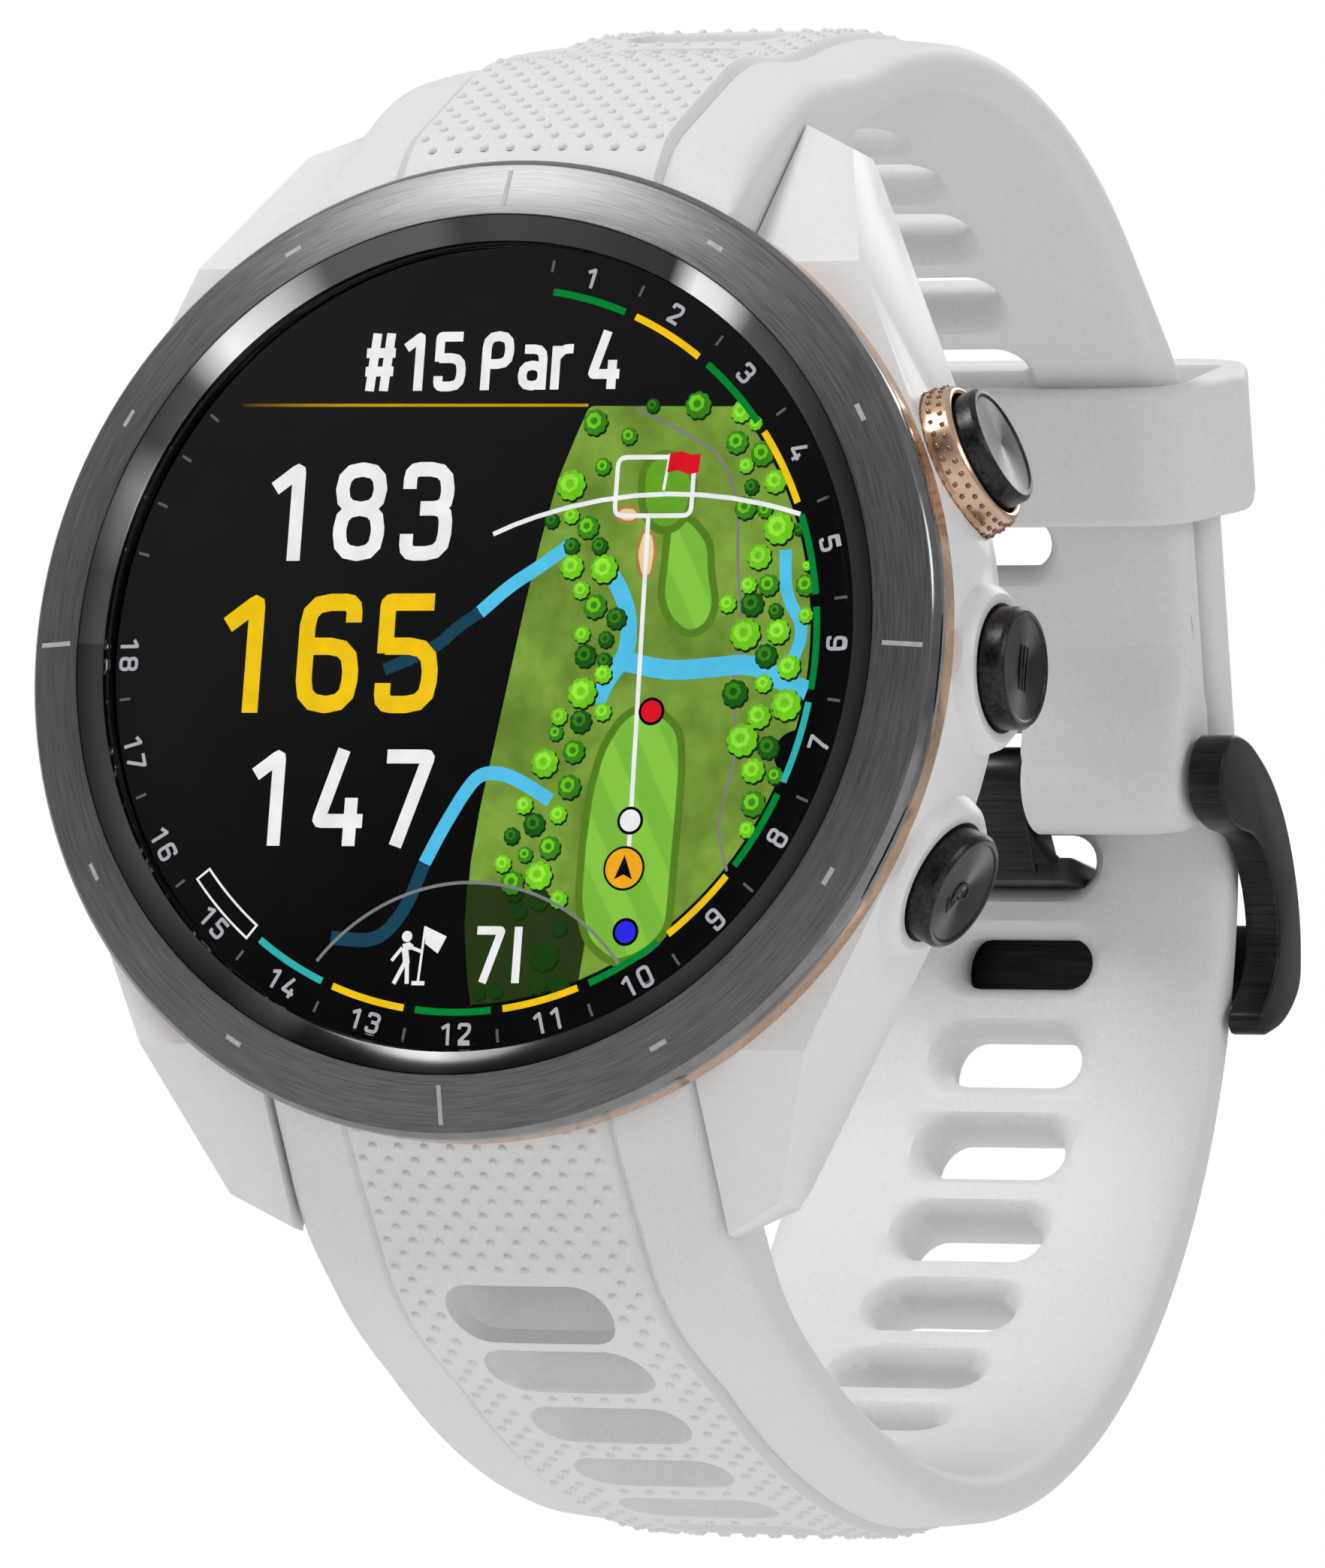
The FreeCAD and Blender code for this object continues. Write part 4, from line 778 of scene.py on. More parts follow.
def stripedFinish(name, first, second, pitch):
    # mown stripes that lean to the right
    finish, tree, shader = newFinish(name)
    wave = addNode(tree, "TexWave", Scale=pitch, Distortion=0.6, Detail=1.0)
    mapping = tree.nodes.new("ShaderNodeMapping")
    mapping.inputs["Rotation"].default_value = (0, math.radians(28), 0)
    tree.links.new(objectPlace(tree), mapping.inputs["Vector"])
    tree.links.new(mapping.outputs["Vector"], wave.inputs["Vector"])
    feed(tree, shader, Base_Color=screenBase["Base_Color"], Emission_Strength=1.0,
         Emission_Color=twoTones(tree, wave.outputs["Fac"], first, second, 0.42, 0.58))
    return finish


screenTones = {
    "white": (236, 236, 238), "numberGrey": (168, 170, 176), "dashGrey": (92, 92, 102),
    "yellow": (238, 193, 25), "green": (0, 128, 52),
    "teal": (50, 170, 170), "hollow": (5, 6, 7),
    "outline": (84, 124, 38), "puttingGreen": (98, 160, 42), "river": (82, 188, 228),
    "riverDim": (28, 66, 84), "sand": (230, 205, 150), "sandRim": (160, 128, 70),
    "treeEdge": (18, 46, 14), "treeDark": (30, 88, 26), "treeMid": (58, 128, 32),
    "treeLight": (108, 196, 34), "treeTop": (142, 222, 62), "path": (126, 121, 124),
    "red": (215, 22, 38), "blue": (44, 44, 230), "disc": (238, 168, 32),
    "night": (8, 12, 6), "treeNight": (28, 62, 20), "groundNight": (42, 56, 24),
    "circleGrey": (120, 124, 122),
}
for name, color in screenTones.items():
    finishes["screen_" + name] = screenFinish("screen_" + name, tone(*color),
                                              spread=0.16 if "tree" in name else 0.07)
finishes["screen_ground"] = screenFinish("screen_ground", tone(113, 146, 57), spread=0.28,
                                         scale=420.0)
finishes["screen_line"] = screenFinish("screen_line", tone(196, 150, 22), fade=(-12.2, -7.0))
finishes["screen_fairway"] = stripedFinish("screen_fairway", tone(112, 178, 48),
                                           tone(126, 192, 56), 150.0)

art = {}


def draw(finish, depth, *shapes):
    # a shape is a list of faces, each a list of (x, z) places in mm
    art.setdefault((finish, depth), []).extend(shapes)


def rounded(points, radius, closed=False, steps=4):
    points = [Vector(point) for point in points]
    count = len(points)
    path = []
    for index, corner in enumerate(points):
        if not closed and index in (0, count - 1):
            path.append(corner)
            continue
        before = points[index - 1] - corner
        after = points[(index + 1) % count] - corner
        reach = min(radius, before.length * 0.49, after.length * 0.49)
        start = corner + before.normalized() * reach
        end = corner + after.normalized() * reach
        for step in range(steps + 1):
            share = step / steps
            path.append(start * (1 - share) ** 2 + corner * 2 * share * (1 - share)
                        + end * share ** 2)
    return path


def ribbon(points, width, closed=False):
    # a flat line as a row of faces between two mitred edges
    points = [Vector(point) for point in points]
    count = len(points)
    edges = []
    for index, point in enumerate(points):
        steps = []
        if closed or index:
            steps.append((point - points[index - 1]).normalized())
        if closed or index < count - 1:
            steps.append((points[(index + 1) % count] - point).normalized())
        along = sum(steps, Vector((0, 0))).normalized()
        side = Vector((-along.y, along.x))
        reach = width / 2 / max(0.4, side.dot(Vector((-steps[0].y, steps[0].x))))
        edges.append((point + side * reach, point - side * reach))
    pairs = list(zip(edges, edges[1:]))
    if closed:
        pairs.append((edges[-1], edges[0]))
    return [[one[0], one[1], two[1], two[0]] for one, two in pairs]


def blob(points, ease=0.5, steps=4):
    return [rounded(points, ease, closed=True, steps=steps)]


def disc(x, z, radius, count=24):
    return [[Vector((x + radius * math.cos(math.tau * step / count),
                     z + radius * math.sin(math.tau * step / count)))
             for step in range(count)]]


def arcPoints(x, z, radius, start, end, count=24):
    # start and end in degrees clockwise from the top
    return [Vector((x + radius * math.sin(math.radians(start + (end - start) * step / count)),
                    z + radius * math.cos(math.radians(start + (end - start) * step / count))))
            for step in range(count + 1)]


glyphs = {
    "0": ((0, (.07, .07), (.07, .93), (.49, .93), (.49, .07)),),
    "1": ((2, (.06, .74), (.32, .93), (.32, 0)),),
    "2": ((1, (.07, .70), (.07, .93), (.49, .93), (.49, .60), (.09, .10)),
          (2, (.04, .07), (.52, .07))),
    "3": ((1, (.07, .73), (.07, .93), (.49, .93), (.49, .53), (.2, .53)),
          (1, (.22, .53), (.49, .53), (.49, .07), (.07, .07), (.07, .27))),
    "4": ((2, (.30, 1), (.06, .26), (.56, .26)), (2, (.42, .5), (.42, 0))),
    "5": ((2, (.49, .93), (.07, .93), (.07, .50)),
          (1, (.07, .56), (.49, .56), (.49, .07), (.07, .07), (.07, .25))),
    "6": ((1, (.49, .76), (.49, .93), (.07, .93), (.07, .07), (.49, .07), (.49, .56),
           (.07, .56)),),
    "7": ((2, (.04, .93), (.51, .93), (.2, 0)),),
    "8": ((0, (.07, .53), (.07, .93), (.49, .93), (.49, .53)),
          (0, (.07, .07), (.07, .53), (.49, .53), (.49, .07))),
    "9": ((1, (.07, .24), (.07, .07), (.49, .07), (.49, .93), (.07, .93), (.07, .44),
           (.49, .44)),),
    "I": ((1, (.28, 1), (.28, 0)),),
    "#": ((1, (.20, 1), (.12, 0)), (1, (.46, 1), (.38, 0)), (1, (.02, .66), (.56, .66)),
          (1, (.02, .34), (.54, .34))),
    "P": ((1, (.07, 0), (.07, .93), (.49, .93), (.49, .45), (.07, .45)),),
    "a": ((1, (.09, .70), (.44, .70), (.44, 0)), (0, (.07, .07), (.07, .42), (.44, .42),
                                                  (.44, .07))),
    "r": ((1, (.07, 0), (.07, .75)), (1, (.07, .55), (.20, .70), (.38, .70))),
}


def writing(text, corner, size, advance, stroke, turn=0.0, wide=1.0):
    # strokes of the text from its lower left corner, turned about that corner
    shapes = []
    cosTurn, sinTurn = math.cos(turn), math.sin(turn)
    for index, letter in enumerate(text):
        for opened, *points in glyphs.get(letter, ()):
            placed = [(point[0] * size * wide + index * advance, point[1] * size)
                      for point in points]
            path = rounded(placed, (0.04 if opened == 2 else 0.2) * size, closed=not opened,
                           steps=3)
            path = [Vector((corner[0] + point.x * cosTurn + point.y * sinTurn,
                            corner[1] - point.x * sinTurn + point.y * cosTurn))
                    for point in path]
            shapes.append(ribbon(path, stroke, closed=not opened))
    return shapes


artCentre = (-0.22, -0.03)


def aroundRing(radius, degrees):
    return Vector((artCentre[0] + radius * math.sin(math.radians(degrees)),
                   artCentre[1] + radius * math.cos(math.radians(degrees))))


def drawRing():
    arcTones = "green yellow green yellow green green teal green yellow green yellow " \
               "green yellow teal".split()
    for number in range(1, 19):
        angle = 15 * number - 0.8
        text = str(number)
        wide, advance = 1.3, 0.80
        span = advance * (len(text) - 1) + 0.56 * 0.86 * wide
        turn = math.radians(angle if number <= 5 else angle - 180)
        middle = aroundRing(16.42, angle)
        across = Vector((math.cos(turn), -math.sin(turn)))
        upward = Vector((math.sin(turn), math.cos(turn)))
        draw("screen_numberGrey", 1.16, *writing(
            text, middle - across * span / 2 - upward * 0.43, 0.86, advance, 0.15, turn, wide))
    for angle in [15 * step + 7.5 for step in range(18)] + [284.4, 292.2, 299.9, 307.2]:
        draw("screen_dashGrey", 1.16,
             ribbon([aroundRing(16.35, angle), aroundRing(16.85, angle)], 0.12))
    for index, color in enumerate(arcTones, 1):
        draw("screen_" + color, 1.16, ribbon(
            arcPoints(*artCentre, 15.52, 15 * index - 6.6, 15 * index + 6.4, 10), 0.30))
    outline = arcPoints(*artCentre, 15.86, 218.4, 231.3, 10) + arcPoints(
        *artCentre, 15.16, 231.3, 218.4, 10)
    draw("screen_white", 1.16, ribbon(outline, 0.1, closed=True))


def drawFigures():
    # text, tone, depth, left end, foot, size, advance, stroke
    rows = (("#", "white", 1.10, -6.5, 11.1, 2.5, 0, 0.42),
            ("15", "white", 1.10, -4.75, 11.1, 2.5, 1.55, 0.42),
            ("P", "white", 1.10, -1.0, 11.1, 2.5, 0, 0.42),
            ("a", "white", 1.10, 0.72, 11.1, 2.5, 0, 0.40),
            ("r", "white", 1.10, 2.25, 11.1, 2.5, 0, 0.40),
            ("4", "white", 1.10, 4.0, 11.1, 2.5, 0, 0.42),
            ("183", "white", 1.10, -10.55, 3.78, 4.22, 3.15, 0.62),
            ("165", "yellow", 1.10, -12.35, -2.78, 5.12, 3.72, 0.74),
            ("147", "white", 1.10, -10.45, -8.50, 4.14, 3.10, 0.60),
            ("7", "white", 1.08, 0.62, -14.30, 2.4, 0, 0.36),
            ("I", "white", 1.08, 1.95, -14.30, 2.4, 0, 0.36))
    for letters, tint, depth, left, foot, size, advance, stroke in rows:
        draw("screen_" + tint, depth, *writing(letters, (left, foot), size, advance, stroke))
    draw("screen_line", 1.10, ribbon([(-12.11, 10.54), (4.07, 10.41)], 0.13))


mapEdge = ((4.07, 10.41), (3.61, 9.3), (2.86, 7.28), (2.32, 4.92), (1.8, 2.23), (1.31, -0.8),
           (0.78, -4.15), (0.34, -6.84), (0.09, -9.19), (0.08, -11.86), (0.42, -14.2),
           (0.6, -15.25))
greens = {
    "upper": ((8.1, 5.16), (8.04, 3.55), (7.97, 2.21), (8.41, 1.21), (9.36, 0.54),
              (10.23, 0.87), (10.59, 1.87), (10.23, 3.21), (10.13, 4.55), (9.15, 5.56),
              (8.42, 5.73)),
    "lower": ((6.56, -2.97), (5.76, -4.31), (5.36, -6.15), (5.19, -8.49), (5.19, -10.83),
              (5.68, -12.49), (7.02, -13.48), (8.42, -12.97), (9.42, -11.96), (9.46, -10.14),
              (9.51, -7.47), (9.54, -5.14), (9.34, -3.47), (8.34, -2.64), (7.43, -2.47)),
    "putting": ((6.8, 7.93), (6.71, 6.75), (6.98, 5.57), (7.75, 4.96), (8.53, 5.16),
                (9.05, 5.9), (9.2, 7.24), (8.6, 8.08), (7.67, 8.43)),
}
rivers = (
    (0.75, ((5.33, 3.56), (6.0, 2.7), (6.57, 1.55), (6.7, -0.13), (5.72, -1.47),
            (5.4, -2.4))),
    (0.85, ((6.6, -0.55), (8.57, -0.97), (10.72, -0.8), (12.5, -0.63), (14.0, -1.47),
            (15.0, -1.8))),
    (0.55, ((13.57, 4.2), (13.72, 2.2), (14.72, 0.86), (14.13, -0.8))),
    (0.6, ((3.8, 4.58), (2.42, 3.57), (1.03, 2.74), (-0.33, 1.56))),
    (0.6, ((3.58, -6.49), (2.44, -5.83), (1.31, -5.33), (0.22, -5.33), (-0.44, -6.17),
           (-1.4, -7.85), (-2.05, -9.2))),
)
dimRivers = (
    (0.55, ((-0.33, 1.56), (-1.37, 0.89), (-2.05, 0.22), (-3.46, -0.46), (-4.6, -0.9))),
    (0.6, ((-2.05, -9.2), (-2.78, -11.21), (-3.95, -12.56), (-6.16, -12.41))),
)
golfPath = ((6.26, 10.29), (8.51, 9.26), (10.39, 8.24), (11.26, 6.22), (11.4, 3.54),
            (11.85, 0.87), (11.52, -1.8), (12.05, -4.13), (11.51, -6.47), (11.33, -7.8),
            (11.92, -9.46))
trees = {
    "treeDark": (
        (2.7, 5.5, 0.35), (3.7, 4.4, 0.38), (5.0, 4.4, 0.38), (6.0, 1.3, 0.48),
        (5.6, 0.4, 0.37), (4.7, -0.3, 0.51), (5.6, -0.5, 0.35), (4.7, -3.1, 0.51),
        (2.9, -7.5, 0.51), (1.9, -8.0, 0.38), (11.8, 6.9, 0.35), (14.1, 5.1, 0.29),
        (12.2, 1.9, 0.54), (13.3, 1.6, 0.35), (13.0, -0.3, 0.52), (11.7, -1.9, 0.6),
        (13.4, -4.2, 0.51), (7.0, 10.4, 0.32),
    ),
    "treeMid": (
        (4.4, 9.7, 0.57), (6.0, 9.1, 0.38), (4.9, 7.8, 0.38), (4.4, 5.2, 0.51),
        (5.0, 1.8, 0.54), (3.6, -3.6, 0.35), (4.5, -4.4, 0.51), (4.4, -5.9, 0.54),
        (3.7, -8.5, 0.51), (2.6, -8.8, 0.35), (2.1, -10.0, 0.54), (11.0, 8.8, 0.51),
        (12.2, 8.3, 0.54), (11.6, 6.0, 0.51), (12.5, 5.9, 0.35), (12.9, 2.7, 0.48),
        (14.6, 2.7, 0.48), (13.8, -5.4, 0.38), (12.9, -6.6, 0.57), (9.1, 10.4, 0.6),
    ),
    "treeLight": (
        (3.5, 7.0, 0.67), (3.6, 5.7, 0.38), (3.8, 3.5, 0.54), (5.3, 3.4, 0.63),
        (4.3, 2.5, 0.4), (4.5, 0.6, 0.38), (5.6, -1.1, 0.41), (4.7, -1.9, 0.67),
        (3.7, -2.9, 0.4), (5.7, -2.7, 0.41), (3.2, -4.9, 0.63), (2.4, -6.7, 0.4),
        (4.0, -7.1, 0.4), (1.6, -9.2, 0.4), (3.3, -9.7, 0.63), (4.3, -10.7, 0.41),
        (11.1, 10.1, 0.48), (11.5, 7.8, 0.35), (12.9, 7.1, 0.52), (13.2, 5.1, 0.7),
        (12.4, 3.9, 0.56), (12.0, 2.7, 0.38), (11.1, 1.9, 0.4), (14.6, 3.5, 0.22),
        (14.7, 1.4, 0.35), (12.0, 0.6, 0.7), (13.5, 0.7, 0.54), (14.1, -0.8, 0.54),
        (13.0, -1.5, 0.4), (14.1, -2.4, 0.7), (12.9, -2.9, 0.54), (12.2, -3.9, 0.73),
        (12.8, -5.2, 0.54), (12.7, -7.7, 0.38), (11.8, 9.6, 0.32),
    ),
    "treeNight": (
        (2.2, -10.4, 0.44), (3.4, -10.7, 0.48), (2.5, -11.2, 0.38), (4.4, -11.9, 0.38),
        (3.8, -13.1, 0.67), (2.4, -13.7, 0.41), (4.6, -14.3, 0.48), (3.6, -14.3, 0.44),
        (1.7, -14.6, 0.35), (0.9, -14.7, 0.32), (1.2, -13.2, 0.35),
    ),
}


def scallop(x, z, radius, turn, lobes=9):
    return [[Vector((x + radius * (0.88 + 0.12 * abs(math.cos(lobes * angle / 2)))
                     * math.cos(angle + turn),
                     z + radius * (0.88 + 0.12 * abs(math.cos(lobes * angle / 2)))
                     * math.sin(angle + turn)))
             for angle in (math.tau * step / 36 for step in range(36))]]


def drawTrees():
    tops = {"treeDark": ("treeMid", 1.235), "treeMid": ("treeLight", 1.22),
            "treeLight": ("treeTop", 1.205), "treeNight": ("treeDark", 1.235)}
    for kind, places in trees.items():
        topTone, depth = tops[kind]
        for index, (x, z, radius) in enumerate(places):
            turn = index * 1.7
            draw("screen_treeEdge", depth + 0.004,
                 scallop(x + 0.05, z - 0.07, radius * 1.06, turn))
            draw("screen_" + kind, depth, scallop(x, z, radius, turn))
            if kind == "treeNight":
                continue
            draw("screen_" + topTone, depth - 0.004, scallop(
                x - radius * 0.14, z + radius * 0.14, radius * 0.62, turn + 0.4, 7))
            draw("screen_" + kind, depth - 0.008, scallop(
                x - radius * 0.1, z + radius * 0.1, radius * 0.30, turn + 0.9, 5))


def drawMap():
    rim = arcPoints(*artCentre, 15.2, 177, 47, 40)
    draw("screen_ground", 1.25, blob(list(mapEdge) + rim, 0.25, 3))
    draw("screen_hollow", 1.245, blob(((15.6, -3.1), (13.9, -3.7), (13.6, -4.6), (14.2, -5.6),
                                       (13.9, -6.6), (15.6, -6.4)), 0.5))
    draw("screen_groundNight", 1.244, [
        arcPoints(0.29, -18.88, 8.80, -1.8, 38, 20) + arcPoints(*artCentre, 15.2, 158, 177, 12)
        + [Vector((0.35, -14.2)), Vector((0.02, -11.9))]])
    for name, edge in greens.items():
        tint = "screen_puttingGreen" if name == "putting" else "screen_fairway"
        draw("screen_outline", 1.242 if name != "putting" else 1.238,
             ribbon(rounded(edge, 0.6, closed=True), 0.34, closed=True))
        draw(tint, 1.243 if name != "putting" else 1.239, blob(edge, 0.6))
    for x, z, wide, high in ((6.17, 5.74, 0.56, 0.34), (7.17, 4.06, 0.46, 1.0)):
        edge = [(x - wide, z), (x - wide * 0.5, z + high), (x + wide * 0.6, z + high * 0.9),
                (x + wide, z + high * 0.1), (x + wide * 0.7, z - high), (x - wide * 0.4, z - high)]
        draw("screen_sandRim", 1.232, ribbon(rounded(edge, 0.3, closed=True), 0.16, closed=True))
        draw("screen_sand", 1.233, blob(edge, 0.3))
    for width, line in rivers:
        draw("screen_river", 1.2405, ribbon(rounded(line, 1.2, steps=5), width))
    for width, line in dimRivers:
        draw("screen_riverDim", 1.2405, ribbon(rounded(line, 1.2, steps=5), width))
    draw("screen_path", 1.241, ribbon(rounded(golfPath, 1.2, steps=5), 0.13))


def drawMarks():
    draw("screen_white", 1.16, ribbon([(8.0, 8.3), (7.8, 6.74)], 0.14),
         ribbon(rounded(((5.62, 8.17), (9.14, 8.17), (9.14, 5.66), (5.62, 5.66)), 0.4,
                        closed=True), 0.2, closed=True),
         ribbon([(7.19, 5.67), (7.29, -1.0), (7.4, -9.15)], 0.2),
         ribbon([(0.06, 4.90), *((x, -13.91 + math.sqrt(20.5 ** 2 - (x - 8.17) ** 2))
                                 for x in (1, 2, 3.5, 5, 6.5, 8, 9.5, 11, 12.5, 13.4, 14.17))],
                0.2))
    draw("screen_red", 1.15, [[Vector(point) for point in (
        (8.0, 8.32), (8.5, 8.42), (9.0, 8.25), (9.42, 8.3), (9.36, 7.5), (8.9, 7.42),
        (8.4, 7.6), (7.92, 7.5))]])
    for x, z, tint in ((7.99, -2.7, "red"), (7.37, -7.35, "white"), (7.52, -12.08, "blue")):
        draw("screen_hollow", 1.14, disc(x, z, 0.60))
        draw("screen_" + tint, 1.13, disc(x, z, 0.47))
    draw("screen_hollow", 1.14, disc(7.24, -9.38, 0.95, 32))
    draw("screen_disc", 1.13, disc(7.24, -9.38, 0.85, 32))
    draw("screen_night", 1.12, [[Vector(point) for point in (
        (7.24, -8.82), (7.66, -9.86), (7.24, -9.64), (6.82, -9.86))]])
    draw("screen_circleGrey", 1.17, ribbon(arcPoints(0.29, -18.88, 8.87, -52, 52, 48), 0.14))


def drawGolfer():
    head = (-2.56, -12.34)
    draw("screen_white", 1.15, disc(*head, 0.24, 16))
    limbs = ((0.26, ((-2.72, -12.8), (-2.45, -12.72), (-2.3, -12.82))),
             (0.30, ((-2.62, -12.85), (-2.5, -13.5))),
             (0.15, ((-2.75, -12.82), (-3.2, -13.38))),
             (0.15, ((-2.3, -12.82), (-1.84, -12.98))),
             (0.19, ((-2.55, -13.4), (-3.03, -14.36))),
             (0.19, ((-2.48, -13.4), (-2.42, -14.36))),
             (0.11, ((-1.74, -11.9), (-1.91, -14.30))),
             (0.18, ((-2.2, -14.33), (-1.6, -14.33))))
    for width, line in limbs:
        draw("screen_white", 1.15, ribbon(line, width))
    draw("screen_white", 1.15, [[Vector(point) for point in (
        (-1.72, -11.9), (-0.72, -12.33), (-1.08, -13.06), (-1.70, -12.64))]])


def makeBacking():
    # the unlit screen, with a painted reflection: its faint glow is painted lighter towards the
    # upper left, standing in for the glass mirroring the room
    finish, tree, shader = newFinish("screen_backing")
    place = objectPlace(tree)
    # painted reflection: the glow's strength grows towards the upper left
    lean = sums(tree, "DOT_PRODUCT", place, (-0.62, 0.0, 0.78), kind="VectorMath")
    grain = grainOf(tree, place, Scale=300.0, Detail=2.0)
    feed(tree, shader, Base_Color=(0.002, 0.002, 0.002, 1), Roughness=0.5, IOR=1.08,
         Emission_Color=twoTones(tree, grain, (0.0105, 0.0105, 0.011), (0.0135, 0.0135, 0.014)),
         Emission_Strength=remapped(tree, lean, From_Min=-6 * mm, From_Max=17 * mm, To_Min=0.15,
                                    To_Max=1.0))
    finishes["screen_backing"] = finish
    draw("screen_backing", 1.27, disc(0, 0, 17.28, 128))


def makeArt():
    makeBacking()
    drawRing()
    drawFigures()
    drawMap()
    drawTrees()
    drawMarks()
    drawGolfer()
    for index, ((finish, depth), shapes) in enumerate(sorted(art.items())):
        points, faces = [], []
        for shape in shapes:
            for face in shape:
                faces.append(range(len(points), len(points) + len(face)))
                points.extend(facePoint(point[0], depth, point[1]) for point in face)
        sheet = newPiece(f"{finish}_{index}", points, [], [list(face) for face in faces])
        useOnly(sheet)
        editMesh(selectAll,
                 lambda: bpy.ops.mesh.remove_doubles(threshold=0.0000002))
        turnFaces(sheet, -1)
        addModifier(sheet, "SOLIDIFY", thickness=0.000002, offset=-1.0)
        applyModifiers(sheet)
        dress(sheet, finishes[finish], "watch")


screenPlan = {"glassRadius": 17.3, "glassBack": 0.9, "glassEase": 0.25}


def spun(name, corners, ease=0.05, steps=160):
    # turns a closed outline of (radius, depth) corners about the dial's axis
    outline = rounded(corners, ease, closed=True, steps=2) if ease else [
        Vector(corner) for corner in corners]
    count = len(outline)
    piece = newPiece(name, [facePoint(point.x, point.y, 0) for point in outline],
                     [(step, (step + 1) % count) for step in range(count)], [])
    useOnly(piece)
    editMesh(selectAll,
             lambda: bpy.ops.mesh.spin(steps=steps, angle=math.tau, center=(0, 0, 0),
                                       axis=(0, 1, 0)))
    outwardNormals(piece)
    return piece


def makeLens():
    finish, tree, shader = newFinish("clearGlass")
    grain = grainOf(tree, objectPlace(tree), Scale=600.0, Detail=2.0)
    feed(tree, shader, Base_Color=(1, 1, 1, 1), Transmission_Weight=1.0, IOR=1.07,
         Roughness=remapped(tree, grain, To_Min=0.0, To_Max=0.02))
    finishes["clearGlass"] = finish
    plan = screenPlan
    glass = spun("glassPlate", (
        (0, 0), (plan["glassRadius"] - plan["glassEase"], 0),
        (plan["glassRadius"], plan["glassEase"]), (plan["glassRadius"], plan["glassBack"]),
        (0, plan["glassBack"])), ease=0, steps=128)
    smooth(glass, 20)
    dress(glass, finish, "watch")
    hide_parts("lens_glass")


# painted reflection round the bezel's inner chamfer: (angle in degrees, grey level out of 255)
paintedReflectionStops = ((0, 52), (20, 42), (27, 40), (31, 175), (36, 165), (41, 62), (70, 46), (100, 42),
               (140, 50), (168, 30), (177, 36), (181, 46), (186, 44), (192, 30), (201, 34),
               (205, 62), (210, 58), (216, 46), (240, 66), (262, 58), (280, 74), (292, 126),
               (299, 60), (309, 62), (316, 185), (326, 140), (333, 64), (350, 66), (354, 46))


def makePolish():
    # painted reflection: bands of light and dark are painted into the base colour round the
    # polished edge, by angle about the dial
    finish, tree, shader = newFinish("paintedReflectionBands")
    place = splitPlace(tree, objectPlace(tree))
    turn = sums(tree, "ARCTAN2", place["Z"], place["X"])
    tones = tree.nodes.new("ShaderNodeValToRGB")
    stops = sorted((((90 - clock + 180) % 360) / 360, (level / 255) ** 2.2 * 2.1)
                   for clock, level in paintedReflectionStops)
    ramp = tones.color_ramp
    while len(ramp.elements) < len(stops):
        ramp.elements.new(0.5)
    for element, (spot, level) in zip(ramp.elements, stops):
        element.position = spot
    for element, (spot, level) in zip(ramp.elements, stops):
        element.color = (level, level, level * 1.01, 1)
    tree.links.new(remapped(tree, turn, From_Min=-math.pi, From_Max=math.pi), tones.inputs["Fac"])
    feed(tree, shader, Base_Color=tones.outputs["Color"], Metallic=1.0, Roughness=0.12)
    finishes["paintedReflectionBands"] = finish


bezelPlan = {
    "outline": ((17.35, 0.05), (17.45, 0.0), (18.43, -0.35), (20.75, 0.46), (21.0, 0.85),
                (21.0, 1.5), (20.4, 1.5), (17.35, 1.5)),
    "ease": 0.06, "polishedWithin": 18.40, "polishedBeyond": 20.78,
    "tickRadius": 19.65, "tickRise": 0.012,
    # width across and length outwards of the marks at the quarters and at the other hours
    "quarterTick": (0.2, 1.6), "hourTick": (0.8, 0.2),
}


def makeBezel():
    makePolish()
    plan = bezelPlan
    ring = spun("bezelRing", plan["outline"], ease=plan["ease"])
    smooth(ring, 24)
    dress(ring, finishes["brushedBezel"], "watch")
    ring.data.materials.append(finishes["polishedBezel"])
    ring.data.materials.append(finishes["paintedReflectionBands"])
    for face in ring.data.polygons:
        reach = math.hypot(face.center.x, face.center.z) / mm
        # the inner chamfer gets the painted reflection bands
        if reach < plan["polishedWithin"]:
            face.material_index = 2
        elif reach > plan["polishedBeyond"]:
            face.material_index = 1
    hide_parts("bezel")
    (innerEdge, innerDepth), (outerEdge, outerDepth) = plan["outline"][2:4]
    ticks, faces = [], []
    for hour in range(12):
        wide, long = plan["hourTick" if hour % 3 else "quarterTick"]
        turn = math.radians(30 * hour)
        for side, reach in ((-1, -1), (1, -1), (1, 1), (-1, 1)):
            across, along = side * wide / 2, reach * long / 2 + plan["tickRadius"]
            depth = innerDepth + (along - innerEdge) * (outerDepth - innerDepth) / (
                outerEdge - innerEdge)
            ticks.append(facePoint(across * math.cos(turn) + along * math.sin(turn),
                                   depth - plan["tickRise"],
                                   along * math.cos(turn) - across * math.sin(turn)))
        faces.append(list(range(hour * 4, hour * 4 + 4)))
    marks = newPiece("bezelTicks", ticks, [], faces)
    turnFaces(marks, -1)
    addModifier(marks, "SOLIDIFY", thickness=0.00003, offset=-1.0)
    applyModifiers(marks)
    dress(marks, finishes["tickGrey"], "watch")


finishes["tickGrey"] = noisyFinish("tickGrey", ((0.34, 0.35, 0.36), (0.46, 0.47, 0.48)),
                                   (0.4, 0.6), even, scale=3000.0)
makeArt()
makeLens()
makeBezel()
print("screen, glass and bezel done")

buttonPlan = {
    "depth": 6.0, "stem": 1, "stemEnd": 15.5, "groove": (15.85, 16.25), "neck": 0.69,
    "bottom": 20.35, "radius": 2.6, "travel": 0.45,
    "buttons": {"action_button": (24.5, 23.2), "menu_button": (0.0, 22.8),
                "back_button": (-24.8, 22.8)},
}


